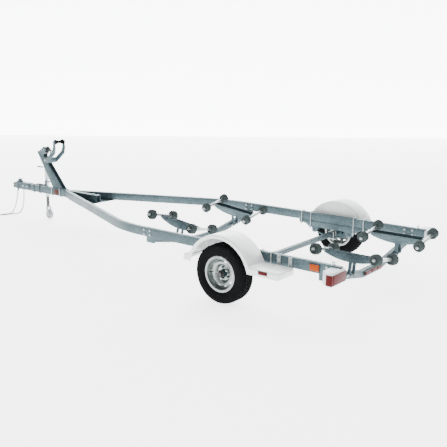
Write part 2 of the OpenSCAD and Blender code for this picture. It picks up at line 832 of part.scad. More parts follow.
module coupler_latch() {
    at_axle() color(zinc) {
        difference() {
            plate_xz(0, 22) polygon([
                [latch_at - 60, coupler_top], [latch_at + 46, coupler_top], [latch_at + 46, coupler_top + 16],
                [latch_at + 20, coupler_top + 44], [latch_at - 24, coupler_top + 44],
                [latch_at - 40, coupler_top + 20], [latch_at - 60, coupler_top + 12]
            ]);
            translate([latch_at, 0, coupler_top + 28]) bar_y(latch_hole_r, 60);
        }
    }
}

// ---------------------------------------------------------------- winch stand

stand_wide = stand_w / 2;
foot_half = tongue_w / 2 + 2 * clamp_rod_r + 14;

module stand_side() {
    polygon([
        [stand_at - stand_foot / 2, rail_top + stand_wall],
        [stand_at + stand_foot / 2, rail_top + stand_wall],
        [stand_at + stand_lean + stand_head / 2, rail_top + stand_rise + 25],
        [stand_at + stand_lean - stand_head / 2, rail_top + stand_rise - 25]
    ]);
}

module winch_stand() {
    at_axle() color(zinc) {
        difference() {
            plate_xz(0, stand_w) stand_side();
            // Hollow, open to the rear
            plate_xz(0, stand_w - 2 * stand_wall) translate([-stand_wall * 1.6, 0]) stand_side();
        }
        difference() {
            translate([stand_at - stand_foot / 2 - 20, -foot_half, rail_top])
                cube([stand_foot + 90, 2 * foot_half, stand_wall]);
            for (x = [stand_at - stand_foot / 2 + 78, stand_at + stand_foot / 2 + 32], s = [-1, 1])
                translate([x, s * (tongue_w / 2 + clamp_rod_r + 0.5), rail_top - eps])
                    cylinder(r = clamp_rod_r, h = stand_wall + 2 * eps, $fn = small);
        }
    }
}

winch_x = stand_at + stand_lean - 95;
winch_z = rail_top + stand_rise + 62;

winch_plate_t = 5;
winch_plate_y = stand_wide - winch_plate_t / 2;
head_rear = [stand_at + stand_lean - stand_head / 2 - winch_x, rail_top + stand_rise - 25 - winch_z];
head_front = [stand_at + stand_lean + stand_head / 2 - winch_x, rail_top + stand_rise + 25 - winch_z];

module winch() {
    at_axle() color(zinc) translate([winch_x, 0, winch_z]) {
        bar_y(24, 2 * winch_plate_y);
        // Side frames that stand on the stand's head
        for (y = [-1, 1]) plate_xz(y * winch_plate_y, winch_plate_t) union() {
            circle(r = 44, $fn = small);
            polygon([[-40, -14], head_rear, head_front * 0.9 + head_rear * 0.1, [40, 18]]);
        }
    }
}

handle_y = -stand_wide - 40;

module winch_handle() {
    at_axle() color(black) translate([winch_x, 0, winch_z]) {
        translate([0, handle_y / 2 - stand_wide / 2, 0]) bar_y(9, -handle_y - stand_wide);
        translate([-10, handle_y - 3, -150]) cube([20, 6, 160]);
        translate([0, handle_y - 43, -140]) bar_y(13, 80);
    }
}

bow_x = stand_at - 25;
bow_z = 1227;
bow_foot_x = stand_at + stand_lean - 225;
bow_foot_z = rail_top + stand_rise - 125;
prong_y = bow_roller_w / 2 + 10;
prong_t = 8;

module bow_bracket() {
    at_axle() color(zinc) {
        for (s = [-1, 1]) difference() {
            plate_xz(s * prong_y, prong_t) union() {
                polygon([
                    [bow_foot_x + 14, bow_foot_z + 70], [bow_foot_x + 14, bow_foot_z], [bow_foot_x, bow_foot_z],
                    [bow_x - 8, bow_z - 170], [bow_x - 26, bow_z - 90], [bow_x - 24, bow_z],
                    [bow_x + 24, bow_z], [bow_x + 32, bow_z - 80], [bow_x + 60, bow_z - 140]
                ]);
                translate([bow_x, bow_z]) circle(r = 24, $fn = small);
            }
            translate([bow_x, s * prong_y, bow_z]) bar_y(bow_shaft_d / 2, 4 * prong_t);
        }
        // Cross plate, and the cheeks that hold it on the stand's sides
        translate([bow_foot_x, -prong_y, bow_foot_z]) cube([14, 2 * prong_y, 70]);
        for (s = [-1, 1]) translate([bow_foot_x + 14 - eps, s * (stand_wide + prong_t / 2) - prong_t / 2, bow_foot_z])
            cube([110, prong_t, 70]);
        translate([bow_x, 0, bow_z]) {
            bar_y(bow_shaft_d / 2, 2 * prong_y + 24);
            for (s = [-1, 1]) translate([0, s * (prong_y + 9), 0]) bar_y(bow_shaft_d / 2 + 6, 8);
        }
    }
}

module bow_roller() {
    at_axle() color(rubber) translate([bow_x, 0, bow_z]) rotate([90, 0, 0]) rotate_extrude($fn = smooth)
        polygon([
            [bow_shaft_d / 2 + run_gap, -bow_roller_w / 2], [bow_roller_d / 2 - 4, -bow_roller_w / 2],
            [bow_roller_d / 2, -bow_roller_w / 2 + 5], [bow_roller_d / 2 - 2, -bow_roller_w / 2 + 18],
            [bow_waist_d / 2, -8], [bow_waist_d / 2, 8], [bow_roller_d / 2 - 2, bow_roller_w / 2 - 18],
            [bow_roller_d / 2, bow_roller_w / 2 - 5], [bow_roller_d / 2 - 4, bow_roller_w / 2],
            [bow_shaft_d / 2 + run_gap, bow_roller_w / 2]
        ]);
}

// ---------------------------------------------------------------- jack

jack_r = jack_d / 2;
leg_d = jack_d - 2 * jack_wall - leg_play;
jack_swing_z = rail_base + rail_h / 2;
swing_pin_r = 16;
swing_gap = 12;
bracket_plate = 8;
jack_y = -(tongue_w / 2 + bracket_plate + 36 + jack_r);

pin_len = 30;
plate_inner_y = -tongue_w / 2 - bracket_plate;

bracket_len = 210;
bracket_back = 60;
bracket_past = 16;
// Stations of the jack's two U-bolts, from the jack
bracket_bolts = [-10, 130];
bracket_bolt_z = [rail_base - clamp_rod_r - clamp_gap, rail_top + clamp_rod_r + clamp_gap];
bolt_far_y = tongue_clamp_y;
bolt_near_y = plate_inner_y - bracket_plate;
lock_r = 7;
lock_len = 100;
lock_tab = [20, bracket_plate, 60];
lock_rise = 50;

module jack_bracket() {
    at_axle() color(zinc) {
        difference() {
            translate([jack_at - bracket_back, plate_inner_y, rail_base - bracket_past])
                cube([bracket_len, bracket_plate, rail_h + 2 * bracket_past]);
            for (x = bracket_bolts, z = bracket_bolt_z)
                translate([jack_at + x, plate_inner_y, z]) bar_y(clamp_rod_r, 4 * bracket_plate);
        }
        // Pin on which the jack swings up
        translate([jack_at, plate_inner_y - pin_len / 2, jack_swing_z]) bar_y(swing_pin_r, pin_len);
        // U-bolts round the tongue
        for (x = bracket_bolts) translate([jack_at + x, 0, 0]) {
            for (z = bracket_bolt_z) translate([0, (bolt_far_y + bolt_near_y) / 2, z])
                bar_y(clamp_rod_r, bolt_far_y - bolt_near_y);
            translate([0, tongue_clamp_y, bracket_bolt_z[0] - clamp_rod_r])
                cylinder(r = clamp_rod_r, h = bracket_bolt_z[1] - bracket_bolt_z[0] + 2 * clamp_rod_r, $fn = small);
        }
    }
    // Pull pin that locks the jack upright
    at_axle() color(black) {
        translate([jack_at - bracket_back, plate_inner_y, rail_top + bracket_past]) cube(lock_tab);
        translate([jack_at - lock_len - lock_rise, plate_inner_y + bracket_plate / 2,
                   rail_top + bracket_past + lock_rise])
            rotate([0, 90, 0]) cylinder(r = lock_r, h = lock_len, $fn = small);
    }
}

swing_plate_t = 10;
swing_plate_r = 48;
swing_block = [40, 80];
swing_plate_y = plate_inner_y - swing_gap - swing_plate_t / 2;
jack_lid_t = 7;
gear_cap_h = 22;

module jack_tube() {
    at_axle() color(zinc) {
        difference() {
            union() {
                translate([jack_at, jack_y, jack_foot])
                    cylinder(r = jack_r, h = jack_top - jack_foot, $fn = smooth);
                // Swing plate against the bracket
                translate([jack_at, swing_plate_y, jack_swing_z]) bar_y(swing_plate_r, swing_plate_t);
                translate([jack_at - swing_block[0] / 2, jack_y, jack_swing_z - swing_block[1] / 2])
                    cube([swing_block[0], swing_plate_y - jack_y, swing_block[1]]);
            }
            translate([jack_at, plate_inner_y - pin_len / 2 - eps, jack_swing_z])
                bar_y(swing_pin_r + run_gap, pin_len + 2 * eps);
            translate([jack_at, jack_y, jack_foot - eps])
                cylinder(r = leg_d / 2 + leg_play / 2, h = jack_top - jack_foot - jack_lid_t, $fn = smooth);
        }
        // Gear cap
        translate([jack_at, jack_y, jack_top])
            cylinder(r1 = jack_r + 5, r2 = jack_r - 4, h = gear_cap_h, $fn = smooth);
    }
}

crank_rise = 30;
crank_z = jack_top + crank_rise;
crank_len = 200;
crank_grip_r = 11;
crank_bar = 8;

module jack_crank() {
    at_axle() color(black) {
        translate([jack_at, jack_y, jack_top + gear_cap_h])
            cylinder(r = 9, h = crank_rise + crank_bar / 2 - gear_cap_h + 2, $fn = small);
        translate([jack_at - 10, jack_y - crank_bar / 2, crank_z]) cube([crank_len - 70, crank_bar, crank_bar]);
        translate([jack_at + crank_len / 2, jack_y, crank_z + crank_bar / 2]) rotate([0, 90, 0])
            cylinder(r = crank_grip_r, h = crank_len / 2 + 20, $fn = small);
    }
}

leg_top = jack_top - 165;
// The leg rides on the fork's top plate, which turns on a pin at the leg's foot
wheel_gap = 42;
fork_top = jack_wheel_d + wheel_gap;
fork_t = 6;
fork_side_gap = 4;
fork_half = jack_wheel_w / 2 + fork_side_gap;
fork_plate_r = 30;
fork_arm_half = 26;
fork_eye_r = 20;
swivel_r = 12;
swivel_nut = [18, 8];
swivel_gap = 1;
jack_axle_r = 8;
swivel_low = fork_top - fork_t - swivel_gap - swivel_nut[1];

module jack_leg() {
    at_axle() color(black) translate([jack_at, jack_y, 0]) {
        translate([0, 0, fork_top + swivel_gap])
            cylinder(r = leg_d / 2, h = leg_top - fork_top - swivel_gap, $fn = smooth);
        translate([0, 0, swivel_low]) cylinder(r = swivel_r, h = fork_top + 2 * swivel_gap - swivel_low, $fn = small);
        translate([0, 0, swivel_low]) cylinder(r = swivel_nut[0], h = swivel_nut[1], $fn = small);
    }
}

module jack_fork() {
    at_axle() color(zinc) translate([jack_at, jack_y, 0]) {
        translate([0, 0, fork_top - fork_t]) difference() {
            cylinder(r = fork_plate_r, h = fork_t, $fn = smooth);
            translate([0, 0, -eps]) cylinder(r = swivel_r + run_gap, h = fork_t + 2 * eps, $fn = small);
        }
        for (s = [-1, 1]) plate_xz(s * (fork_half + fork_t / 2), fork_t) difference() {
            union() {
                polygon([
                    [-fork_arm_half, fork_top], [fork_arm_half, fork_top],
                    [-trail + fork_eye_r, jack_wheel_d / 2], [-trail - fork_eye_r, jack_wheel_d / 2]
                ]);
                translate([-trail, jack_wheel_d / 2]) circle(r = fork_eye_r, $fn = small);
            }
            translate([-trail, jack_wheel_d / 2]) circle(r = jack_axle_r, $fn = small);
        }
        // Axle bolt
        translate([-trail, 0, jack_wheel_d / 2]) bar_y(jack_axle_r, 2 * (fork_half + fork_t) + 14);
    }
}

module jack_wheel() {
    w = jack_wheel_w / 2;
    r = jack_wheel_d / 2;
    at_axle() color(black) translate([jack_at - trail, jack_y, r]) rotate([90, 0, 0]) rotate_extrude($fn = smooth)
        polygon([
            [jack_axle_r + run_gap, -w], [22, -w], [24, -w + 7], [r - 22, -w + 7], [r - 18, -w + 1], [r - 6, -w + 3],
            [r, -w + 11], [r, w - 11], [r - 6, w - 3], [r - 18, w - 1], [r - 22, w - 7], [24, w - 7],
            [22, w], [jack_axle_r + run_gap, w]
        ]);
}

// ---------------------------------------------------------------- lights and loops

light_inner_y = rail_outer_y - rail_w;
light_z = rail_base - 34;
lens_t = 22;

light_back = rail_tail_at - 20;

module tail_lights() {
    at_axle() color(white) both_sides() translate([0, 0, light_z]) linear_extrude(light_h) polygon([
        [light_back, light_inner_y], [light_back, light_inner_y + light_w],
        [light_back + 30, light_inner_y + light_w], [light_back + light_depth, light_inner_y + light_w - 60],
        [light_back + light_depth, rail_outer_y], [rail_tail_at, rail_outer_y], [rail_tail_at, light_inner_y]
    ]);
}

module tail_lenses() {
    at_axle() color(red) both_sides() translate([light_back - lens_t, light_inner_y + 4, light_z + 4])
        cube([lens_t, light_w - 8, light_h - 8]);
}

marker_at = -905;

module side_markers() {
    at_axle() color(amber) both_sides() {
        translate([marker_at - 55, rail_outer_y, rail_base + 12]) cube([110, 16, 76]);
        // Reflectors on the tongue, and lamps on the fenders' front ends
        translate([stand_at - stand_foot / 2 + 92, tongue_w / 2, rail_base + 14]) cube([120, 5, 74]);
        translate([fender_nose_at, fender_outer_y - 110, fender_low + 22]) cube([10, 90, 38]);
    }
}

fender_marker_at = -533;

module fender_markers() {
    at_axle() color(red) both_sides() {
        translate([fender_marker_at - 52, fender_outer_y, fender_low + 22]) cube([104, marker_t, 38]);
    }
}

bar_h = 40;

module rear_light_bar() {
    at_axle() color(red)
        translate([rear_cross_at - cross_w / 2 - 22, -bar_w / 2, cross_base + 22]) cube([22, bar_w, bar_h]);
}

loop_at = -1080;
loop_r = 21;
loop_rod_r = 5;

module tie_down_loops() {
    at_axle() color(pale_zinc) both_sides() translate([loop_at, rail_y, rail_top + 12]) {
        rotate([90, 0, 90]) rotate_extrude(angle = 180, $fn = small) translate([loop_r, 0])
            circle(r = loop_rod_r, $fn = small);
        for (s = [-1, 1]) translate([0, s * loop_r, -12]) cylinder(r = loop_rod_r, h = 12, $fn = small);
    }
}

// ---------------------------------------------------------------- chains

// Routes in the axle's frame, from the coupler's eye down to the ground
left_route = [
    [5030, 54, 406], [5032, 55, 380], [5042, 58, 320], [5058, 62, 260], [5078, 66, 200], [5102, 72, 140],
    [5128, 82, 84], [5152, 98, 40], [5174, 120, 17], [5196, 148, 11.5], [5212, 178, 11.5],
    [5226, 210, 11.5], [5240, 244, 11.5], [5256, 278, 11.5]
];
right_route = [
    [5030, -54, 406], [5031, -54, 380], [5034, -54, 320], [5040, -54, 260], [5049, -52, 200],
    [5062, -48, 140], [5082, -40, 84], [5108, -26, 40], [5134, -4, 17], [5160, 24, 11.5],
    [5186, 56, 11.5], [5210, 90, 11.5], [5230, 126, 11.5], [5248, 164, 11.5], [5266, 204, 11.5]
];

chain_sides = 8;

function unit(v) = v / norm(v);
function tangent(p, i) = unit(p[min(i + 1, len(p) - 1)] - p[max(i - 1, 0)]);
function across(t) = unit(cross(t, [1, -0.6, 0.15]));
function ring(p, i, r) =
    let (t = tangent(p, i), u = across(t), v = cross(t, u))
    [for (k = [0 : chain_sides - 1])
        let (a = 360 * k / chain_sides) p[i] + r * (u * cos(a) + v * sin(a))];

module tube(p, r) {
    n = chain_sides;
    last = len(p) - 1;
    polyhedron(
        points = [for (i = [0 : last]) for (q = ring(p, i, r)) q],
        faces = concat(
            [[for (k = [0 : n - 1]) k]],
            [for (i = [0 : last - 1], k = [0 : n - 1])
                [i * n + k, (i + 1) * n + k, (i + 1) * n + (k + 1) % n, i * n + (k + 1) % n]],
            [[for (k = [n - 1 : -1 : 0]) last * n + k]]
        )
    );
}

module chain_left() at_axle() color(pale_zinc) tube(left_route, chain_d / 2);
module chain_right() at_axle() color(pale_zinc) tube(right_route, chain_d / 2);

hook_len = 62;
hook_w = 34;
hook_t = 9;

// An open hook lying flat at a chain's end
module hook(end, turn) {
    translate([end[0], end[1], 0]) rotate([0, 0, turn]) linear_extrude(hook_t) difference() {
        translate([1, -hook_w / 2]) square([hook_len, hook_w]);
        translate([16, -hook_w / 2 + 9]) square([hook_len - 24, hook_w - 18]);
        translate([26, -hook_w / 2 - eps]) square([18, 12]);
    }
}

module chain_hooks() {
    at_axle() color(pale_zinc) {
        hook(left_route[len(left_route) - 1], 65);
        hook(right_route[len(right_route) - 1], 66);
    }
}

// ---------------------------------------------------------------- nodes

rail_left();
rail_right();
tongue();
tongue_gusset();
front_crossmember();
rear_crossmember();
cradle_pivots();
axle();
leaf_springs();
spring_channels();
axle_clamps();
frame_clamps();
fender_left();
fender_right();
fender_brackets();
coupler();
coupler_latch();
winch_stand();
winch();
winch_handle();
bow_bracket();
bow_roller();
jack_bracket();
jack_tube();
jack_crank();
jack_leg();
jack_fork();
jack_wheel();
tail_lights();
tail_lenses();
side_markers();
fender_markers();
rear_light_bar();
tie_down_loops();
tyre_left();
rim_left();
hub_left();
tyre_right();
rim_right();
hub_right();
cradle_front_left();
arms_front_left();
rollers_at(1, front_pivot_at, 1);  // rollers_front_left_fore
rollers_at(1, front_pivot_at, -1);  // rollers_front_left_aft
cradle_front_right();
arms_front_right();
rollers_at(-1, front_pivot_at, 1);  // rollers_front_right_fore
rollers_at(-1, front_pivot_at, -1);  // rollers_front_right_aft
cradle_rear_left();
arms_rear_left();
rollers_at(1, rear_pivot_at, 1);  // rollers_rear_left_fore
rollers_at(1, rear_pivot_at, -1);  // rollers_rear_left_aft
cradle_rear_right();
arms_rear_right();
rollers_at(-1, rear_pivot_at, 1);  // rollers_rear_right_fore
rollers_at(-1, rear_pivot_at, -1);  // rollers_rear_right_aft
chain_left();
chain_right();
chain_hooks();
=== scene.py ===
import json
import math

import bpy
from bpy.props import FloatProperty, FloatVectorProperty, IntProperty, PointerProperty
from mathutils import Matrix, Vector


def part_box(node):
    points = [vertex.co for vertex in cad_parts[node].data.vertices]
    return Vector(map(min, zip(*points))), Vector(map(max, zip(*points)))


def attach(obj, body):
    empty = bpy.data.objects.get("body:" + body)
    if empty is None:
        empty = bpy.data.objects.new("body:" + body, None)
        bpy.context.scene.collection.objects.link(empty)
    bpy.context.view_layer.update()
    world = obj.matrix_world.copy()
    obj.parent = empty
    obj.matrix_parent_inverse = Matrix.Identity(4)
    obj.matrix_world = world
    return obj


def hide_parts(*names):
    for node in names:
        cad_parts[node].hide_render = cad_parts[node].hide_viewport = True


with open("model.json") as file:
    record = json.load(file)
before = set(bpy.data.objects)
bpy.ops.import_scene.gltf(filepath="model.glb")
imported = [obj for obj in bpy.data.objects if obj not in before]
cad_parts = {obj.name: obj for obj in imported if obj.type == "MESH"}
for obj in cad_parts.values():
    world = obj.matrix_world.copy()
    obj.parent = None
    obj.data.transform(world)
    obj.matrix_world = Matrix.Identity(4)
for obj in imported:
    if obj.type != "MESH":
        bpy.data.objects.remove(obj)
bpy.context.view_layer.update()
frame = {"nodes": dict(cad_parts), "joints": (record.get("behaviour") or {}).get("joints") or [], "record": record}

bl_info = {
    "name": "Roller boat trailer",
    "version": (1, 0, 0),
    "blender": (4, 5, 0),
    "location": "View3D > Sidebar > Trailer",
    "description": "Builds the visible surfaces of a roller boat trailer over its exact frame",
    "category": "Object",
}

MM = 0.001
# Scale of a wave texture whose bands are 1 mm apart
WAVE = 314
NOISE_ROUGHNESS = 0.55
NODES = frame["nodes"]
UP = Vector((0, 0, 1))
AXLE_X = sum(corner[0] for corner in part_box("axle")) / 2


# ---------------------------------------------------------------- colours and sizes


def linear(hex_colour):
    """A colour written as #RRGGBB, as linear values with full alpha."""
    parts = [int(hex_colour[i : i + 2], 16) / 255 for i in (1, 3, 5)]
    return (*[c / 12.92 if c <= 0.04045 else ((c + 0.055) / 1.055) ** 2.4 for c in parts], 1.0)


def colour(name, description, value):
    return FloatVectorProperty(
        name=name, description=description, subtype="COLOR", size=4, min=0, max=1, default=linear(value)
    )


def length(name, description, value):
    return FloatProperty(name=name, description=description, default=value * MM, unit="LENGTH", min=0)


class TrailerColours(bpy.types.PropertyGroup):
    zinc: colour("Galvanising", "Dull side of the hot-dip galvanised steel", "#37474C")
    zinc_pale: colour("Galvanising, bright", "Bright spangles of the galvanised steel", "#586A6F")
    plated: colour("Zinc plating", "Bolts, clamps, arms and chains", "#B9C0C1")
    wheel: colour("Wheel steel", "Galvanised pressed wheels", "#8A918F")
    tyre: colour("Tyre", "Tyre rubber", "#0B0C0D")
    roller: colour("Roller", "Roller rubber", "#3A4242")
    paint: colour("Black paint", "Jack leg, crank and winch handle", "#08090A")
    fender: colour("Fender", "Moulded fenders", "#E9EBEB")
    housing: colour("Lamp guard", "Guards round the tail lights", "#C9D1D3")
    red: colour("Red lens", "Tail lights and rear markers", "#5A0002")
    amber: colour("Amber lens", "Side reflectors", "#B84A04")
    strap: colour("Winch strap", "Webbing on the winch drum", "#2A2C2E")


class TrailerSizes(bpy.types.PropertyGroup):
    edge: length("Edge", "Rounding of the steel tubes' corners", 4)
    sheet_edge: length("Sheet edge", "Rounding of cut plate edges", 1.2)
    fender_edge: length("Fender edge", "Rounding of the moulded fenders' corners", 14)
    tread_depth: length("Tread depth", "Depth of the tyre grooves", 7)
    bolt_flats: length("Bolt size", "Width across the flats of the frame's nuts", 19)
    chain_wire: length("Chain wire", "Thickness of a chain link's wire", 6.5)
    roller_ribs: IntProperty(name="Roller ribs", description="Ribs round each roller", default=36, min=12, max=72)
    tread_pitches: IntProperty(
        name="Tread pitches", description="Tread blocks round a tyre", default=60, min=30, max=90
    )


def colours():
    """The colours a user may change."""
    return bpy.context.scene.trailer_colours


def sizes():
    """The sizes a user may change."""
    return bpy.context.scene.trailer_sizes


# ---------------------------------------------------------------- modelling helpers


def clear():
    """Leaves edit mode and deselects everything."""
    if bpy.context.object and bpy.context.object.mode != "OBJECT":
        bpy.ops.object.mode_set(mode="OBJECT")
    bpy.ops.object.select_all(action="DESELECT")


def take(*objects):
    """Selects only these objects and makes the first one active."""
    clear()
    for obj in objects:
        obj.select_set(True)
    bpy.context.view_layer.objects.active = objects[0]
    return objects[0]


def made(name):
    obj = bpy.context.view_layer.objects.active
    obj.name = obj.data.name = name
    return obj


def settle(obj):
    """Puts the object's place and turn into its mesh."""
    take(obj)
    bpy.ops.object.transform_apply(location=True, rotation=True, scale=True)
    return obj


def pick(obj, test, kind="FACE"):
    """Enters edit mode with only the faces, edges or vertices for which test holds selected."""
    take(obj)
    bpy.ops.object.mode_set(mode="EDIT")
    bpy.ops.mesh.select_mode(type=kind)
    bpy.ops.mesh.select_all(action="DESELECT")
    bpy.ops.object.mode_set(mode="OBJECT")
    mesh = obj.data
    if kind == "FACE":
        for face in mesh.polygons:
            face.select = bool(test(face.center, face.normal))
    elif kind == "VERT":
        for vertex in mesh.vertices:
            vertex.select = bool(test(vertex.co))
    else:
        for edge in mesh.edges:
            a, b = (mesh.vertices[i].co for i in edge.vertices)
            edge.select = bool(test(a, b))
    bpy.ops.object.mode_set(mode="EDIT")


def done(merge=1e-6):
    """Leaves edit mode with doubles merged and normals facing out."""
    bpy.ops.mesh.select_all(action="SELECT")
    bpy.ops.mesh.remove_doubles(threshold=merge)
    bpy.ops.mesh.normals_make_consistent(inside=False)
    bpy.ops.object.mode_set(mode="OBJECT")


def apply_modifier(obj, kind, **settings):
    take(obj)
    modifier = obj.modifiers.new(kind.lower(), kind)
    for key, value in settings.items():
        setattr(modifier, key, value)
    bpy.ops.object.modifier_apply(modifier=modifier.name)
    return obj


def soften(obj, width=0, segments=2, angle=32):
    """Rounds the sharp edges and shades the rest smooth."""
    if width:
        apply_modifier(
            obj, "BEVEL", width=width, segments=segments, limit_method="ANGLE", angle_limit=math.radians(angle)
        )
    take(obj)
    bpy.ops.object.shade_smooth_by_angle(angle=math.radians(38))
    return obj


def lathe(name, profile, segments=64):
    """A piece turned about Y through rings given as (place along Y, radius), joined end to end."""
    clear()
    along, radius = profile[0]
    bpy.ops.mesh.primitive_circle_add(
        vertices=segments, radius=radius, location=(0, along, 0), rotation=(math.pi / 2, 0, 0)
    )
    obj = settle(made(name))
    bpy.ops.object.mode_set(mode="EDIT")
    bpy.ops.mesh.select_mode(type="VERT")
    bpy.ops.mesh.select_all(action="SELECT")
    for next_along, next_radius in profile[1:]:
        bpy.ops.mesh.extrude_region_move(TRANSFORM_OT_translate={"value": (0, next_along - along, 0)})
        factor = next_radius / radius
        bpy.ops.transform.resize(value=(factor, 1, factor), center_override=(0, next_along, 0))
        along, radius = next_along, next_radius
    done(merge=2e-6)
    return obj


def block(name, low, high, edge=0, segments=2):
    """A box between two corners with rounded edges."""
    clear()
    size = [b - a for a, b in zip(low, high)]
    bpy.ops.mesh.primitive_cube_add(
        size=1, location=[(a + b) / 2 for a, b in zip(low, high)], scale=size
    )
    obj = settle(made(name))
    return soften(obj, edge, segments) if edge else obj


def disc(name, middle, axis, radius, height, sides=32, edge=0, top=1.0):
    """A short turned piece whose rim is rounded; top narrows its outer end."""
    clear()
    turn = UP.rotation_difference(Vector(axis)).to_euler()
    bpy.ops.mesh.primitive_cone_add(
        vertices=sides, radius1=radius, radius2=radius * top, depth=height, location=middle, rotation=turn
    )
    obj = settle(made(name))
    return soften(obj, edge, 2) if edge else obj


def outline(name, points, thickness, middle=0.0):
    """A plate in the XZ plane with these corners, as thick as given along Y."""
    clear()
    bpy.ops.mesh.primitive_circle_add(vertices=len(points), radius=1, fill_type="NGON")
    obj = made(name)
    for vertex, (x, z) in zip(obj.data.vertices, points):
        vertex.co = (x, middle - thickness / 2, z)
    bpy.ops.object.mode_set(mode="EDIT")
    bpy.ops.mesh.select_mode(type="FACE")
    bpy.ops.mesh.select_all(action="SELECT")
    bpy.ops.mesh.extrude_region_move(TRANSFORM_OT_translate={"value": (0, thickness, 0)})
    done()
    return obj


def rod(name, points, radius, sides=4, closed=False, beads=None):
    """A round rod through the points; beads gives each point its share of the radius."""
    clear()
    curve = bpy.data.curves.new(name, "CURVE")
    curve.dimensions, curve.bevel_depth, curve.bevel_resolution = "3D", radius, sides
    curve.use_fill_caps = not closed
    line = curve.splines.new("POLY")
    line.points.add(len(points) - 1)
    for i, point in enumerate(points):
        line.points[i].co = (*point, 1)
        line.points[i].radius = beads[i] if beads else 1
    line.use_cyclic_u = closed
    obj = bpy.data.objects.new(name, curve)
    bpy.context.collection.objects.link(obj)
    take(obj)
    bpy.ops.object.convert(target="MESH")
    bpy.ops.object.shade_smooth_by_angle(angle=math.radians(60))
    return made(name)


def arc(centre, radius, start, end, steps, plane="YZ"):
    """Points round an arc, in degrees, in one of the planes of the axes."""
    a, b = ("XYZ".index(letter) for letter in plane)
    points = []
    for i in range(steps + 1):
        angle = math.radians(start + (end - start) * i / steps)
        point = list(centre)
        point[a] += radius * math.cos(angle)
        point[b] += radius * math.sin(angle)
        points.append(tuple(point))
    return points


def join(name, objects):
    """Joins objects into one with this name."""
    take(*objects)
    if len(objects) > 1:
        bpy.ops.object.join()
    return made(name)


def stamp(name, pattern, places, keep=False):
    """Copies of a piece, each with its own mesh, joined into one object; the pattern itself goes away."""
    copies = []
    for place in places:
        copy = pattern.copy()
        copy.data = pattern.data.copy()
        copy.data.transform(place)
        bpy.context.collection.objects.link(copy)
        copies.append(copy)
    if not keep:
        bpy.data.objects.remove(pattern)
    return join(name, copies)


def at(x, y, z, direction=(0, 0, 1)):
    """The place for a piece drawn along +Z: its foot at the point, its head along the direction."""
    turn = UP.rotation_difference(Vector(direction).normalized()).to_matrix().to_4x4()
    return Matrix.Translation((x, y, z)) @ turn


def mirrored(obj, name):
    """A copy on the other side of the trailer."""
    copy = obj.copy()
    copy.data = obj.data.copy()
    bpy.context.collection.objects.link(copy)
    copy.data.transform(Matrix.Scale(-1, 4, (0, 1, 0)))
    copy.data.flip_normals()
    copy.name = copy.data.name = name
    return copy


def finish_piece(obj, material, body, *nodes):
    """Gives a piece its material and body, and the CAD nodes it stands for."""
    obj.data.materials.clear()
    obj.data.materials.append(bpy.data.materials[material])
    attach(obj, body)
    if nodes:
        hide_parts(*nodes)
    return obj


def rounded(node, width, segments=2):
    """A copy of an exact node with its edges rounded."""
    take(NODES[node])
    bpy.ops.object.duplicate()
    obj = made(node + "_finished")
    bpy.ops.object.mode_set(mode="EDIT")
    bpy.ops.mesh.select_all(action="SELECT")
    bpy.ops.mesh.remove_doubles(threshold=2e-5)
    bpy.ops.mesh.dissolve_limited(angle_limit=math.radians(1))
    bpy.ops.object.mode_set(mode="OBJECT")
    return soften(obj, width, segments)


def finish_node(node, width_mm, material, body="frame", segments=2):
    """Rounds a copy of an exact node and lets it stand for that node."""
    return finish_piece(rounded(node, width_mm * MM, segments), material, body, node)


# ---------------------------------------------------------------- materials


def shader(name, metallic=0.0, roughness=0.5, specular=0.5, coat=0.0):
    """A new material in place of the plain one; returns its tree, surface shader and object coordinates."""
    plain = bpy.data.materials.get(name)
    if plain:
        bpy.data.materials.remove(plain)
    material = bpy.data.materials.new(name)
    material.use_nodes = True
    tree = material.node_tree
    surface = tree.nodes["Principled BSDF"]
    surface.inputs["Metallic"].default_value = metallic
    surface.inputs["Roughness"].default_value = roughness
    surface.inputs["Specular IOR Level"].default_value = specular
    surface.inputs["Coat Weight"].default_value = coat
    where = add(tree, "ShaderNodeTexCoord").outputs["Object"]
    return tree, surface, where


def add(tree, kind, inputs=None, **settings):
    """Adds a node; an input is given a value or joined to another node's output."""
    new = tree.nodes.new(kind)
    for key, value in settings.items():
        setattr(new, key, value)
    for key, value in (inputs or {}).items():
        if isinstance(value, bpy.types.NodeSocket):
            tree.links.new(value, new.inputs[key])
        else:
            new.inputs[key].default_value = value
    return new


def noise(tree, where, size_mm, detail=3.0):
    return add(
        tree, "ShaderNodeTexNoise",
        {"Vector": where, "Scale": 1000 / size_mm, "Detail": detail, "Roughness": NOISE_ROUGHNESS},
    ).outputs["Fac"]


def cells(tree, where, size_mm):
    """Cells of one even colour each, about this far across."""
    return add(tree, "ShaderNodeTexVoronoi", {"Vector": where, "Scale": 1000 / size_mm}).outputs["Color"]


def spread(tree, value, low, high, start=0.3, end=0.7):
    """Maps a pattern's middle values to a range."""
    return add(
        tree, "ShaderNodeMapRange",
        {"Value": value, "From Min": start, "From Max": end, "To Min": low, "To Max": high},
    ).outputs["Result"]


def blend(tree, factor, first, second):
    """Mixes two colours or outputs by a factor."""
    mix = add(tree, "ShaderNodeMix", {"Factor": factor}, data_type="RGBA", blend_type="MIX")
    for socket, value in ((mix.inputs[6], first), (mix.inputs[7], second)):
        if isinstance(value, bpy.types.NodeSocket):
            tree.links.new(value, socket)
        else:
            socket.default_value = value
    return mix.outputs[2]


def tint(value, factor):
    return (*[min(1.0, c * factor) for c in value[:3]], 1.0)


def bump(tree, surface, height, strength, distance_mm):
    made_bump = add(
        tree, "ShaderNodeBump", {"Height": height, "Strength": strength, "Distance": distance_mm * MM}
    )
    tree.links.new(made_bump.outputs["Normal"], surface.inputs["Normal"])


def link(tree, output, surface, name):
    tree.links.new(output, surface.inputs[name])


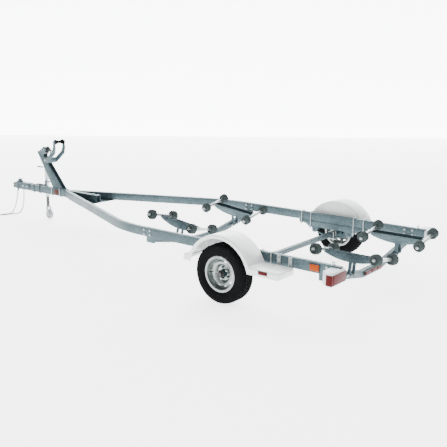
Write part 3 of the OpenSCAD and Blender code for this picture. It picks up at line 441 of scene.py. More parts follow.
def galvanised(name, dull, bright, spangle_mm, roughness, metallic=0.85, streaks=True):
    """Hot-dip galvanised steel: crystals of zinc, each a little lighter or duller, with runs and dull patches."""
    tree, surface, where = shader(name, metallic=metallic, roughness=roughness)
    crystal = add(tree, "ShaderNodeSeparateColor", {"Color": cells(tree, where, spangle_mm)}).outputs["Red"]
    fine = add(tree, "ShaderNodeSeparateColor", {"Color": cells(tree, where, spangle_mm * 0.45)}).outputs["Green"]
    patches = noise(tree, where, 260, 4)
    tone = blend(tree, spread(tree, crystal, 0.0, 0.9, 0.1, 0.9), dull, bright)
    tone = blend(tree, spread(tree, fine, 0.0, 0.35, 0.2, 0.8), tone, tint(bright, 1.08))
    if streaks:
        tone = blend(tree, spread(tree, patches, 0.0, 0.55, 0.42, 0.68), tone, tint(dull, 0.82))
    link(tree, tone, surface, "Base Color")
    link(tree, spread(tree, crystal, roughness - 0.1, roughness + 0.1, 0, 1), surface, "Roughness")
    bump(tree, surface, noise(tree, where, 6, 3), 0.25, 0.4)


def plated(name, tone, roughness=0.32):
    """Zinc-plated steel with faint clouding."""
    tree, surface, where = shader(name, metallic=0.95, roughness=roughness)
    clouds = noise(tree, where, 22, 4)
    link(tree, blend(tree, spread(tree, clouds, 0, 1), tint(tone, 0.82), tone), surface, "Base Color")
    link(tree, spread(tree, clouds, roughness - 0.06, roughness + 0.12), surface, "Roughness")
    bump(tree, surface, noise(tree, where, 2.5, 2), 0.12, 0.2)


def rubber(name, tone, dust, roughness=0.72):
    """Moulded rubber with a fine grain and a little dust in patches."""
    tree, surface, where = shader(name, roughness=roughness, specular=0.03)
    patches = noise(tree, where, 45, 5)
    link(tree, blend(tree, spread(tree, patches, 0, 0.6), tone, dust), surface, "Base Color")
    link(tree, spread(tree, patches, roughness - 0.1, roughness + 0.1), surface, "Roughness")
    bump(tree, surface, noise(tree, where, 1.6, 3), 0.25, 0.25)


def moulded(name, tone, roughness=0.35, grain=0.1, coat=0.0):
    """Moulded plastic: nearly even, with a fine grain and slight waviness of gloss."""
    tree, surface, where = shader(name, roughness=roughness, coat=coat)
    waves = noise(tree, where, 120, 2)
    link(tree, blend(tree, spread(tree, waves, 0, 1), tint(tone, 0.94), tone), surface, "Base Color")
    link(tree, spread(tree, waves, roughness - 0.06, roughness + 0.08), surface, "Roughness")
    bump(tree, surface, noise(tree, where, 2.2, 2), grain, 0.15)


def lens(name, tone, pitch_mm=5.0):
    """Clear coloured lens with fine prisms under a smooth face."""
    tree, surface, where = shader(name, roughness=0.35, specular=0.12)
    wave = add(
        tree, "ShaderNodeTexWave", {"Vector": where, "Scale": WAVE / pitch_mm}, bands_direction="Z"
    ).outputs["Fac"]
    cross = add(
        tree, "ShaderNodeTexWave", {"Vector": where, "Scale": WAVE / pitch_mm}, bands_direction="Y"
    ).outputs["Fac"]
    grid = add(tree, "ShaderNodeMath", {0: wave, 1: cross}, operation="MULTIPLY").outputs[0]
    link(tree, blend(tree, spread(tree, grid, 0, 1, 0, 1), tint(tone, 0.6), tone), surface, "Base Color")
    # Each lens glows faintly in its own colour: painted light, also on the reflectors, which are no lamps
    surface.inputs["Emission Color"].default_value = tone
    surface.inputs["Emission Strength"].default_value = 0.05
    bump(tree, surface, grid, 0.5, 0.8)


def painted(name, tone, roughness=0.4):
    """Sprayed enamel on steel, with slight orange peel and dusty patches."""
    tree, surface, where = shader(name, roughness=roughness, coat=0.15)
    patches = noise(tree, where, 60, 4)
    link(tree, blend(tree, spread(tree, patches, 0, 0.35), tone, tint(tone, 2.6)), surface, "Base Color")
    link(tree, spread(tree, patches, roughness - 0.08, roughness + 0.12), surface, "Roughness")
    bump(tree, surface, noise(tree, where, 3, 2), 0.15, 0.2)


def webbing(name, tone):
    """Woven polyester webbing."""
    tree, surface, where = shader(name, roughness=0.85, specular=0.2)
    weave = add(
        tree, "ShaderNodeTexWave", {"Vector": where, "Scale": WAVE / 2.5}, bands_direction="Y"
    ).outputs["Fac"]
    link(tree, blend(tree, weave, tint(tone, 0.6), tint(tone, 1.5)), surface, "Base Color")
    bump(tree, surface, weave, 0.6, 0.6)


class TRAILER_OT_materials(bpy.types.Operator):
    """Makes the materials and gives each exact node the one for its slot"""

    bl_idname = "trailer.materials"
    bl_label = "Materials"

    def execute(self, context):
        c = colours()
        galvanised("galvanised_steel", tuple(c.zinc), tuple(c.zinc_pale), 11, 0.5, 0.7)
        galvanised("wheel_zinc", tint(c.wheel, 0.86), tuple(c.wheel), 7, 0.34, 0.95, streaks=False)
        galvanised("hub_zinc", tint(c.zinc, 0.9), tuple(c.zinc), 7, 0.45, 0.9, streaks=False)
        plated("bright_zinc", tuple(c.plated))
        plated("chain_zinc", tint(c.plated, 0.3), 0.4)
        rubber("tyre_rubber", tuple(c.tyre), tint(c.tyre, 1.8), 0.8)
        rubber("roller_rubber", tuple(c.roller), tint(c.roller, 1.5), 0.75)
        moulded("jack_wheel_plastic", tint(c.housing, 0.55), 0.45, 0.2)
        moulded("white_plastic", tuple(c.fender), 0.3, 0.06, coat=0.2)
        moulded("lamp_housing", tuple(c.housing), 0.38)
        lens("red_lens", tuple(c.red))
        lens("amber_lens", tuple(c.amber), 4)
        # The amber lens darkened to a sixth: painted shade for the reflectors on the tongue
        lens("painted_shade_amber_lens", tint(c.amber, 0.16), 4)
        painted("black_paint", tuple(c.paint))
        webbing("strap_webbing", tuple(c.strap))
        for part in frame["record"]["subparts"]:
            mesh = NODES[part["node"]].data
            mesh.materials.clear()
            mesh.materials.append(bpy.data.materials[part["material_slot"]])
        return {"FINISHED"}


# ---------------------------------------------------------------- stage and camera


class TRAILER_OT_stage(bpy.types.Operator):
    """Sets the camera, the soft lights and the pale floor"""

    bl_idname = "trailer.stage"
    bl_label = "Stage"

    def execute(self, context):
        clear()
        look = Vector((0.6057, -0.7649, -0.2192))
        turn = look.to_track_quat("-Z", "Y").to_matrix().to_4x4() @ Matrix.Rotation(0.008, 4, "Z")
        bpy.ops.object.camera_add(location=(-5.732, 6.051, 2.189), rotation=turn.to_euler())
        camera = made("camera")
        camera.data.lens, camera.data.sensor_width = 53.06, 36
        camera.data.clip_end = 60
        context.scene.camera = camera
        world = bpy.data.worlds.new("studio")
        context.scene.world = world
        world.use_nodes = True
        world.node_tree.nodes["Background"].inputs["Color"].default_value = linear("#F7F9FA")
        world.node_tree.nodes["Background"].inputs["Strength"].default_value = 0.32
        bpy.ops.mesh.primitive_plane_add(size=60, location=(0, 0, -0.0015))
        floor = made("floor")
        material = bpy.data.materials.new("studio_floor")
        material.use_nodes = True
        surface = material.node_tree.nodes["Principled BSDF"]
        surface.inputs["Base Color"].default_value = linear("#FAFAFA")
        surface.inputs["Roughness"].default_value = 0.9
        surface.inputs["Specular IOR Level"].default_value = 0.1
        surface.inputs["Emission Color"].default_value = linear("#FAFAFA")
        surface.inputs["Emission Strength"].default_value = 3.0
        floor.data.materials.append(material)
        back = look.copy()
        back.z = 0
        bpy.ops.mesh.primitive_plane_add(
            size=60, location=back.normalized() * 16, rotation=back.to_track_quat("-Z", "Y").to_euler()
        )
        backdrop = made("backdrop")
        glow = bpy.data.materials.new("studio_backdrop")
        glow.use_nodes = True
        shine = glow.node_tree.nodes["Principled BSDF"]
        shine.inputs["Base Color"].default_value = linear("#FAFAFA")
        shine.inputs["Emission Color"].default_value = linear("#F7F9FA")
        shine.inputs["Emission Strength"].default_value = 7.0
        backdrop.data.materials.append(glow)
        for name, place, aim, size, power in (
            ("top_light", (-0.5, 0.0, 9.0), (-0.5, 0, 0), 14.0, 900),
            ("key_light", (-5.0, 7.5, 4.5), (-0.8, 0, 0.4), 3.0, 260),
        ):
            aim_at = Vector(aim) - Vector(place)
            bpy.ops.object.light_add(
                type="AREA", location=place, rotation=aim_at.to_track_quat("-Z", "Y").to_euler()
            )
            light = made(name)
            light.data.size, light.data.energy = size, power
        return {"FINISHED"}


# ---------------------------------------------------------------- chains

# Points along each chain in millimetres: station from the axle, distance to the left, height
LEFT_ROUTE = [
    (5030, 54, 406), (5032, 55, 380), (5042, 58, 320), (5058, 62, 260), (5078, 66, 200), (5102, 72, 140),
    (5128, 82, 84), (5152, 98, 40), (5174, 120, 17), (5196, 148, 11.5), (5212, 178, 11.5),
    (5226, 210, 11.5), (5240, 244, 11.5), (5256, 278, 11.5),
]
RIGHT_ROUTE = [
    (5030, -54, 406), (5031, -54, 380), (5034, -54, 320), (5040, -54, 260), (5049, -52, 200),
    (5062, -48, 140), (5082, -40, 84), (5108, -26, 40), (5134, -4, 17), (5160, 24, 11.5),
    (5186, 56, 11.5), (5210, 90, 11.5), (5230, 126, 11.5), (5248, 164, 11.5), (5266, 204, 11.5),
]


def route(points):
    """A route's points in metres, in the trailer's own frame."""
    return [Vector((AXLE_X + x * MM, y * MM, z * MM)) for x, y, z in points]


def stations(points, step):
    """Places and directions at even steps along a route."""
    found, left = [], step / 2
    for a, b in zip(points, points[1:]):
        run = (b - a).length
        while left <= run:
            found.append((a.lerp(b, left / run), (b - a).normalized()))
            left += step
        left -= run
    return found


def chain_link(wire, width, inner):
    """One welded link lying along X, flat in XY: a torus pulled apart at its middle."""
    clear()
    bpy.ops.mesh.primitive_torus_add(
        major_segments=16, minor_segments=8, major_radius=(width - wire) / 2, minor_radius=wire / 2
    )
    link_obj = made("chain_link")
    pull = inner - (width - 2 * wire)
    pick(link_obj, lambda co: co.x > 1e-5, "VERT")
    bpy.ops.transform.translate(value=(pull / 2, 0, 0))
    bpy.ops.object.mode_set(mode="OBJECT")
    pick(link_obj, lambda co: co.x < -1e-5, "VERT")
    bpy.ops.transform.translate(value=(-pull / 2, 0, 0))
    bpy.ops.object.mode_set(mode="OBJECT")
    bpy.ops.object.shade_smooth()
    return link_obj


def end_hook(name, foot, turn):
    """An S hook lying flat: a bent rod with a short straight end."""
    points = arc((0.012, 0, 0), 0.012, 180, 360, 8, "XY") + arc((0.036, 0, 0), 0.012, 180, 0, 8, "XY")
    points = [(x, y, 0) for x, y, _ in points] + [(0.052, -0.010, 0)]
    hook = rod(name, points, 4.2 * MM)
    hook.data.transform(Matrix.Translation(foot) @ Matrix.Rotation(turn, 4, "Z"))
    return hook


class TRAILER_OT_chains(bpy.types.Operator):
    """Builds the two safety chains from real links, with their hooks"""

    bl_idname = "trailer.chains"
    bl_label = "Safety chains"

    def execute(self, context):
        wire, width = sizes().chain_wire, 22 * MM
        for side, points in (("left", route(LEFT_ROUTE)), ("right", route(RIGHT_ROUTE))):
            pattern = chain_link(wire, width, 20 * MM)
            places = []
            spots = stations(points, 20 * MM)
            for i, (spot, direction) in enumerate(spots):
                turn = Vector((1, 0, 0)).rotation_difference(direction).to_matrix().to_4x4()
                spin = Matrix.Rotation(math.radians(45 + 90 * (i % 2)), 4, "X")
                places.append(Matrix.Translation(spot) @ turn @ spin)
            chain = stamp("chain_links_" + side, pattern, places)
            finish_piece(chain, "chain_zinc", "frame", "chain_" + side)
            direction = (points[-1] - points[-2]).normalized()
            hook = end_hook(
                "chain_hook_" + side, points[-1] + direction * 0.004 + Vector((0, 0, -6.5 * MM)),
                math.atan2(direction.y, direction.x),
            )
            finish_piece(hook, "chain_zinc", "frame", "chain_hooks")
        return {"FINISHED"}


# ---------------------------------------------------------------- hardware


def nut(name, flats, thread_out=0.006):
    """A washer, a hexagon nut and the bolt's end, standing on z = 0 and pointing up."""
    radius = flats / 2 / math.cos(math.pi / 6)
    washer = disc(name + "_washer", (0, 0, 0.0012), UP, flats * 0.62, 0.0024, 24, 0.0005)
    hexagon = disc(name, (0, 0, 0.0024 + flats * 0.22), UP, radius, flats * 0.44, 6, 0.0008)
    top = 0.0024 + flats * 0.44
    stud = disc(name + "_stud", (0, 0, top + thread_out / 2), UP, flats * 0.3, thread_out, 16, 0.0008)
    return join(name, [hexagon, washer, stud])


def bolt_head(name, flats):
    """A washer and a hexagon head, standing on z = 0."""
    radius = flats / 2 / math.cos(math.pi / 6)
    washer = disc(name + "_washer", (0, 0, 0.0012), UP, flats * 0.62, 0.0024, 24, 0.0005)
    head = disc(name, (0, 0, 0.0024 + flats * 0.19), UP, radius, flats * 0.38, 6, 0.0011)
    return join(name, [head, washer])


def weld(name, points, size=0.006):
    """A rippled weld bead along a line of points."""
    fine = []
    for a, b in zip(points, points[1:]):
        a, b = Vector(a), Vector(b)
        steps = max(2, int((b - a).length / 0.0035))
        fine += [tuple(a.lerp(b, i / steps)) for i in range(steps)]
    fine.append(points[-1])
    return rod(name, fine, size / 2, 2, beads=[1.0 if i % 2 else 0.74 for i in range(len(fine))])


def centre(node):
    low, high = (Vector(corner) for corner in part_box(node))
    return (low + high) / 2


# ---------------------------------------------------------------- wheels


def tyre_pattern():
    """A tyre about the origin, its axle along Y: grooved tread, shoulder blocks and moulded sidewall rings."""
    s = sizes()
    low, high = (Vector(c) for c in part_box("tyre_left"))
    outer, half = (high.z - low.z) / 2, (high.y - low.y) / 2
    bead, depth, pitches = 0.165, s.tread_depth, s.tread_pitches
    side = [
        (0.40, bead), (0.76, bead), (0.76, bead + 0.017), (0.82, bead + 0.021), (0.86, bead + 0.030),
        (0.93, outer * 0.69), (0.945, outer * 0.69 + 0.002), (0.97, outer * 0.74), (0.99, outer * 0.79),
        (1.0, outer * 0.82), (0.997, outer * 0.85), (1.0, outer * 0.855), (0.985, outer * 0.885),
        (0.955, outer * 0.915), (0.93, outer * 0.945), (0.86, outer * 0.972), (0.80, outer * 0.985),
    ]
    tread = [
        (0.62, outer * 0.996), (0.60, outer - depth), (0.53, outer - depth), (0.51, outer * 0.998),
        (0.20, outer), (0.18, outer - depth), (0.11, outer - depth), (0.09, outer),
    ]
    half_ring = [(y * half, r) for y, r in side + tread]
    ring = half_ring + [(-y, r) for y, r in reversed(half_ring)]
    ring.append(ring[0])
    tyre = lathe("tyre_pattern", ring, pitches * 3)
    step = 2 * math.pi / pitches
    for low_y, high_y, offset in ((0.62, 0.93, 0.0), (0.20, 0.51, 0.33), (-0.09, 0.09, 0.66)):

        def groove(middle, normal, low_y=low_y, high_y=high_y, offset=offset):
            radius = math.hypot(middle.x, middle.z)
            across = middle.y if low_y < 0 else abs(middle.y)
            if radius < outer * 0.93 or not low_y * half < across < high_y * half:
                return False
            turned = math.atan2(middle.z, middle.x) / step + offset
            outward = (normal.x * middle.x + normal.z * middle.z) / radius
            return turned % 1.0 < 0.33 and outward > 0.3

        pick(tyre, groove)
        bpy.ops.mesh.extrude_region_shrink_fatten(TRANSFORM_OT_shrink_fatten={"value": -depth * 0.8})
        bpy.ops.object.mode_set(mode="OBJECT")
    return soften(tyre)


class TRAILER_OT_wheels(bpy.types.Operator):
    """Builds the tyres, the pressed wheels, the hubs with their caps and the wheel nuts"""

    bl_idname = "trailer.wheels"
    bl_label = "Wheels"

    def execute(self, context):
        pattern = tyre_pattern()
        for side, sign in (("left", 1), ("right", -1)):
            middle = centre("tyre_" + side)
            body = "wheel_" + side
            facing = Matrix.Rotation(0 if sign > 0 else math.pi, 4, "Z")
            place = Matrix.Translation(middle) @ facing
            tyre = stamp("tyre_tread_" + side, pattern, [place], keep=True)
            valve = join("valve_" + side, [
                disc("valve_stem", (0.118, 0.052, 0), (0.3, 1, 0), 0.0055, 0.034, 16, 0.001, 0.8),
                disc("valve_cap", (0.124, 0.071, 0), (0.3, 1, 0), 0.0048, 0.010, 16, 0.001),
            ])
            valve.data.transform(place)
            finish_piece(tyre, "tyre_rubber", body, "tyre_" + side)
            finish_piece(valve, "black_paint", body)
            finish_node("rim_" + side, 1.2, "wheel_zinc", body)
            finish_node("hub_" + side, 1.0, "hub_zinc", body)
            cap = lathe("dust_cap_" + side, [
                (0.048, 0.0335), (0.053, 0.0345), (0.056, 0.0345), (0.057, 0.031), (0.078, 0.0295),
                (0.083, 0.026), (0.0845, 0.020), (0.0835, 0.012), (0.0835, 0.0005),
            ], 48)
            cap.data.transform(place)
            finish_piece(soften(cap), "black_paint", body)
            nuts = nut("wheel_nut", 19 * MM, 0.004)
            spots = [
                place @ at(0.05715 * math.cos(a), 0.0225, -0.05715 * math.sin(a), (0, 1, 0))
                for a in (2 * math.pi * i / 5 for i in range(5))
            ]
            finish_piece(stamp("wheel_nuts_" + side, nuts, spots), "bright_zinc", body)
        bpy.data.objects.remove(pattern)
        return {"FINISHED"}


# ---------------------------------------------------------------- rollers and cradles


def roller_pattern(ribs):
    """A ribbed rubber roller about the origin, turning about Y, with its recessed ends."""
    half, outer = 0.038, 0.057
    ring = [
        (-half, 0.0100), (-half, 0.0150), (-half + 0.010, 0.0175), (-half + 0.010, 0.036), (-half + 0.002, 0.041),
        (-half, 0.0435), (-half + 0.002, 0.048), (-half + 0.010, 0.0555), (-half + 0.016, outer),
    ]
    ring += [(-0.008, outer), (-0.006, outer - 0.003), (0.006, outer - 0.003), (0.008, outer)]
    ring += [(-y, r) for y, r in reversed(ring[:9])]
    roller = lathe("roller_pattern", [*ring, ring[0]], ribs * 3)
    step = 2 * math.pi / ribs

    def hollow(middle, normal):
        radius = math.hypot(middle.x, middle.z)
        return radius > 0.0545 and (math.atan2(middle.z, middle.x) / step) % 1.0 < 0.33 and abs(middle.y) > 0.007

    pick(roller, hollow)
    bpy.ops.mesh.extrude_region_shrink_fatten(TRANSFORM_OT_shrink_fatten={"value": -0.0022})
    bpy.ops.object.mode_set(mode="OBJECT")
    return soften(roller)


def cradle_place(joint_name):
    """The place of a cradle's own frame: its pivot, its slope across, and its tilt as parked."""
    joint = next(j for j in frame["joints"] if j["name"] == joint_name)
    axis = Vector(joint["axis"])
    slope = math.atan2(axis.z, axis.y)
    tilt = math.radians(-7 if "front" in joint_name else 0)
    return (
        Matrix.Translation(joint["pos_m"]) @ Matrix.Rotation(slope, 4, "X") @ Matrix.Rotation(tilt, 4, "Y")
    )


# Roller shafts along a cradle and above its pivot, and each roller's place across, in metres
SHAFT_REACH, SHAFT_RISE, ROLLER_GAP = 0.315, 0.205, 0.182
CRADLES = [(end, side) for end in ("front", "rear") for side in ("left", "right")]


class TRAILER_OT_rollers(bpy.types.Operator):
    """Builds the ribbed rollers with their bushes, shafts' nuts and washers"""

    bl_idname = "trailer.rollers"
    bl_label = "Rollers"

    def execute(self, context):
        pattern = roller_pattern(sizes().roller_ribs)
        bush = lathe("bush_pattern", [
            (-0.0395, 0.0097), (-0.0395, 0.0145), (-0.034, 0.0155), (0.034, 0.0155), (0.0395, 0.0145),
            (0.0395, 0.0097), (-0.0395, 0.0097),
        ], 32)
        soften(bush)
        cap = nut("shaft_nut", 17 * MM, 0.004)
        for end, side in CRADLES:
            base = cradle_place(f"cradle_rock_{end}_{side}")
            caps = []
            for which, sign in (("fore", 1), ("aft", -1)):
                body = f"roller_pair_{end}_{side}_{which}"
                shaft = base @ Matrix.Translation((sign * SHAFT_REACH, 0, SHAFT_RISE))
                spots = [shaft @ Matrix.Translation((0, y * ROLLER_GAP, 0)) for y in (-1, 1)]
                rollers = stamp(f"ribbed_{end}_{side}_{which}", pattern, spots, keep=True)
                finish_piece(rollers, "roller_rubber", body, f"rollers_{end}_{side}_{which}")
                bushes = stamp(f"bushes_{end}_{side}_{which}", bush, spots, keep=True)
                finish_piece(bushes, "bright_zinc", body)
                caps += [shaft @ at(0, y * (ROLLER_GAP + 0.0542), 0, (0, y, 0)) for y in (-1, 1)]
            nuts = stamp(f"shaft_nuts_{end}_{side}", cap, caps, keep=True)
            finish_piece(nuts, "bright_zinc", f"cradle_body_{end}_{side}")
        for unused in (pattern, bush, cap):
            bpy.data.objects.remove(unused)
        return {"FINISHED"}


class TRAILER_OT_cradles(bpy.types.Operator):
    """Finishes the rocking beams and arms: rolled edges, welds, pivot bolts and adjusting bolts"""

    bl_idname = "trailer.cradles"
    bl_label = "Cradles"

    def execute(self, context):
        pivot = nut("pivot_nut", 24 * MM, 0.005)
        knob = bolt_head("arm_bolt", 19 * MM)
        for end, side in CRADLES:
            body, base = f"cradle_body_{end}_{side}", cradle_place(f"cradle_rock_{end}_{side}")
            beam = rounded(f"cradle_{end}_{side}", sizes().sheet_edge, 2)
            finish_piece(beam, "galvanised_steel", body, f"cradle_{end}_{side}")
            finish_node(f"arms_{end}_{side}", 0.8, "bright_zinc", body)
            spots = [base @ at(0, y * 0.0545, 0, (0, y, 0)) for y in (-1, 1)]
            finish_piece(stamp(f"pivot_nuts_{end}_{side}", pivot, spots, keep=True), "bright_zinc", body)
            spots = [
                base @ at(x * 0.2975, y * 0.036, SHAFT_RISE - 0.010, (x, 0, 0)) for x in (-1, 1) for y in (-1, 1)
            ]
            finish_piece(stamp(f"arm_bolts_{end}_{side}", knob, spots, keep=True), "bright_zinc", body)
            beads = []
            for x in (-1, 1):
                for y in (-1, 1):
                    beads.append(weld("arm_weld", [
                        (x * (SHAFT_REACH + 0.0005), y * 0.0245, SHAFT_RISE - 0.0155),
                        (x * (SHAFT_REACH - 0.015), y * 0.0245, SHAFT_RISE - 0.0140),
                        (x * (SHAFT_REACH - 0.018), y * 0.0245, SHAFT_RISE + 0.0145),
                        (x * (SHAFT_REACH - 0.004), y * 0.0245, SHAFT_RISE + 0.0155),
                    ], 0.005))
            welds = join(f"arm_welds_{end}_{side}", beads)
            welds.data.transform(base)
            finish_piece(welds, "galvanised_steel", body)
        for unused in (pivot, knob):
            bpy.data.objects.remove(unused)
        return {"FINISHED"}


# ---------------------------------------------------------------- frame


def u_rod(name, x, half, top, low, radius=0.0052, bend=0.012, y=0.0):
    """A bent U-bolt over a tube: its legs down at y +- half, its crown at top."""
    left = [(x, y - half, low), (x, y - half, top - bend)]
    right = [(x, y + half, top - bend), (x, y + half, low)]
    crown = arc((x, y - half + bend, top - bend), bend, 180, 90, 5)[1:] + arc(
        (x, y + half - bend, top - bend), bend, 90, 0, 5
    )[:-1]
    return rod(name, left + crown + right, radius, 3)


def both(obj, name):
    """Keeps a piece and adds its mirror image, as one object."""
    return join(name, [obj, mirrored(obj, name + "_mirror")])


# Places in metres: heights above the ground, distances from the trailer's middle line, stations from the axle
RAIL_TOP, RAIL_BASE, RAIL_OUTER, RAIL_INNER, RAIL_MIDDLE = 0.532, 0.430, 0.9875, 0.9365, 0.962
FRONT_CROSS, REAR_CROSS = 1.2495, -0.9825
CROSS_LOW, CROSS_HIGH, CROSS_RISE = 0.215, 0.291, 0.1413
FENDER_BOLTS_AT = (0.390, -0.510, -0.640)
STAND_CLAMPS_AT, STAND_CLAMP_HALF = (4.008, 4.192), 0.0435
MARKER_LOW, MARKER_TOP, REFLECTOR_TOP = 0.402, 0.440, 0.518
LATCH_AT = 5.030


class TRAILER_OT_frame(bpy.types.Operator):
    """Finishes the rails, tongue, crossmembers and plates: rounded tubes, welds, bolts and end caps"""

    bl_idname = "trailer.frame"
    bl_label = "Frame"

    def execute(self, context):
        s = sizes()
        for name in ("rail_left", "rail_right", "tongue", "front_crossmember", "rear_crossmember"):
            finish_piece(rounded(name, s.edge, 3), "galvanised_steel", "frame", name)
        for name, width_mm in (
            ("tongue_gusset", 1.2), ("cradle_pivots", 1.0), ("axle", 2.5), ("spring_channels", 1.5),
            ("winch_stand", 1.8),
        ):
            finish_node(name, width_mm, "galvanised_steel")
        finish_node("fender_brackets", 1.0, "bright_zinc")
        head = bolt_head("frame_bolt", s.bolt_flats)
        far_nut = nut("frame_nut", s.bolt_flats)
        heads, nuts = [], []
        for sign in (-1, 1):
            for cross in (FRONT_CROSS, REAR_CROSS):
                for dx in (-0.045, 0.045):
                    for z in (0.455, 0.505):
                        heads.append(at(AXLE_X + cross + dx, sign * RAIL_OUTER, z, (0, sign, 0)))
                        nuts.append(at(AXLE_X + cross + dx, sign * (RAIL_INNER - 0.008), z, (0, -sign, 0)))
            for x in FENDER_BOLTS_AT:
                for dz in (0.461, 0.501):
                    heads.append(at(AXLE_X + x, sign * (RAIL_OUTER + 0.006), dz, (0, sign, 0)))
            for share in (0.28, 0.56):
                rear, front = 0.28, 0.062
                y = rear + (front - rear) * share - 0.03
                nuts.append(at(AXLE_X + 3.19 + 0.56 * share, sign * y, RAIL_BASE - 0.0065, (0, 0, -1)))
        for x in (3.20, 3.30):
            nuts.append(at(AXLE_X + x, 0, RAIL_TOP, (0, 0, 1)))
        finish_piece(stamp("frame_bolts", head, heads), "bright_zinc", "frame")
        finish_piece(stamp("frame_nuts", far_nut, nuts), "bright_zinc", "frame")
        beads = []
        for sign in (-1, 1):
            for z in (RAIL_TOP, RAIL_BASE):
                beads.append(weld("joint_weld", [
                    (AXLE_X + 3.205 + t * 0.60, sign * 0.0395, z) for t in (0, 0.33, 0.66, 1.0)
                ], 0.007))
            for cross in (FRONT_CROSS, REAR_CROSS):
                x0, x1 = AXLE_X + cross - 0.0255, AXLE_X + cross + 0.0255
                low, high = CROSS_LOW + CROSS_RISE, CROSS_HIGH + CROSS_RISE
                y = sign * 0.9275
                loop = [(x0, y, high), (x1, y, high), (x1, y, low), (x0, y, low), (x0, y, high)]
                beads.append(weld("cross_weld", loop))
        finish_piece(join("frame_welds", beads), "galvanised_steel", "frame")
        cap = block(
            "tail_cap", (AXLE_X - 1.170, RAIL_INNER + 0.002, RAIL_BASE + 0.002),
            (AXLE_X - 1.160, RAIL_OUTER - 0.002, RAIL_TOP - 0.002), 0.0015,
        )
        finish_piece(both(cap, "tail_caps"), "black_paint", "frame")
        return {"FINISHED"}


class TRAILER_OT_suspension(bpy.types.Operator):
    """Finishes the leaf springs, the clamps round the axle and the clamps that hold the channels on the rails"""

    bl_idname = "trailer.suspension"
    bl_label = "Suspension"

    def execute(self, context):
        finish_node("leaf_springs", 0.8, "galvanised_steel")
        finish_node("axle_clamps", 1.0, "bright_zinc")
        low_nut = nut("clamp_nut", 17 * MM, 0.010)
        clamps, places, plates = [], [], []
        half = 0.0365
        for x, low in ((0.295, 0.356), (-0.295, 0.356), (0.425, 0.396), (-0.425, 0.396)):
            clamps.append(u_rod("frame_clamp", AXLE_X + x, half, RAIL_TOP + 0.0104, low - 0.018, y=RAIL_MIDDLE))
            plates.append(block(
                "clamp_plate", (AXLE_X + x - 0.014, RAIL_MIDDLE - half - 0.012, low - 0.006),
                (AXLE_X + x + 0.014, RAIL_MIDDLE + half + 0.012, low), 0.0012,
            ))
            places += [at(AXLE_X + x, RAIL_MIDDLE + sign * half, low - 0.006, (0, 0, -1)) for sign in (-1, 1)]
        clamp_set = both(join("frame_clamp_rods", clamps + plates), "frame_clamp_set")
        finish_piece(clamp_set, "bright_zinc", "frame", "frame_clamps")
        for x in (-0.031, 0.031):
            for dy in (-0.029, 0.029):
                places.append(at(AXLE_X + x, RAIL_MIDDLE + dy, 0.246, (0, 0, -1)))
        nuts = stamp("clamp_nuts", low_nut, places)
        finish_piece(both(nuts, "clamp_nut_set"), "bright_zinc", "frame")
        stand = join("stand_clamps", [
            u_rod("stand_clamp", AXLE_X + x, STAND_CLAMP_HALF, -RAIL_BASE + 0.0104, -RAIL_TOP - 0.022)
            for x in STAND_CLAMPS_AT
        ])
        stand.data.transform(Matrix.Rotation(math.pi, 4, "X"))
        finish_piece(stand, "bright_zinc", "frame")
        top_nut = nut("stand_nut", 17 * MM, 0.008)
        spots = [
            at(AXLE_X + x, y, RAIL_TOP + 0.005)
            for x in STAND_CLAMPS_AT for y in (-STAND_CLAMP_HALF, STAND_CLAMP_HALF)
        ]
        finish_piece(stamp("stand_nuts", top_nut, spots), "bright_zinc", "frame")
        return {"FINISHED"}


# ---------------------------------------------------------------- fenders


def filleted(corners):
    """An outline from (x, z, radius) corners, each rounded by its radius."""
    points, count = [], len(corners)
    for i, (x, z, radius) in enumerate(corners):
        here = Vector((x, z))
        if not radius:
            points.append((x, z))
            continue
        before, after = (Vector(corners[j % count][:2]) for j in (i - 1, i + 1))
        a, b = (before - here).normalized(), (after - here).normalized()
        half = a.angle(b) / 2
        reach = min(radius / math.tan(half), (before - here).length * 0.49, (after - here).length * 0.49)
        for step in range(6):
            t = step / 5
            start, end = here + a * reach, here + b * reach
            spot = start.lerp(here, t).lerp(here.lerp(end, t), t)
            points.append((spot.x, spot.y))
    return points


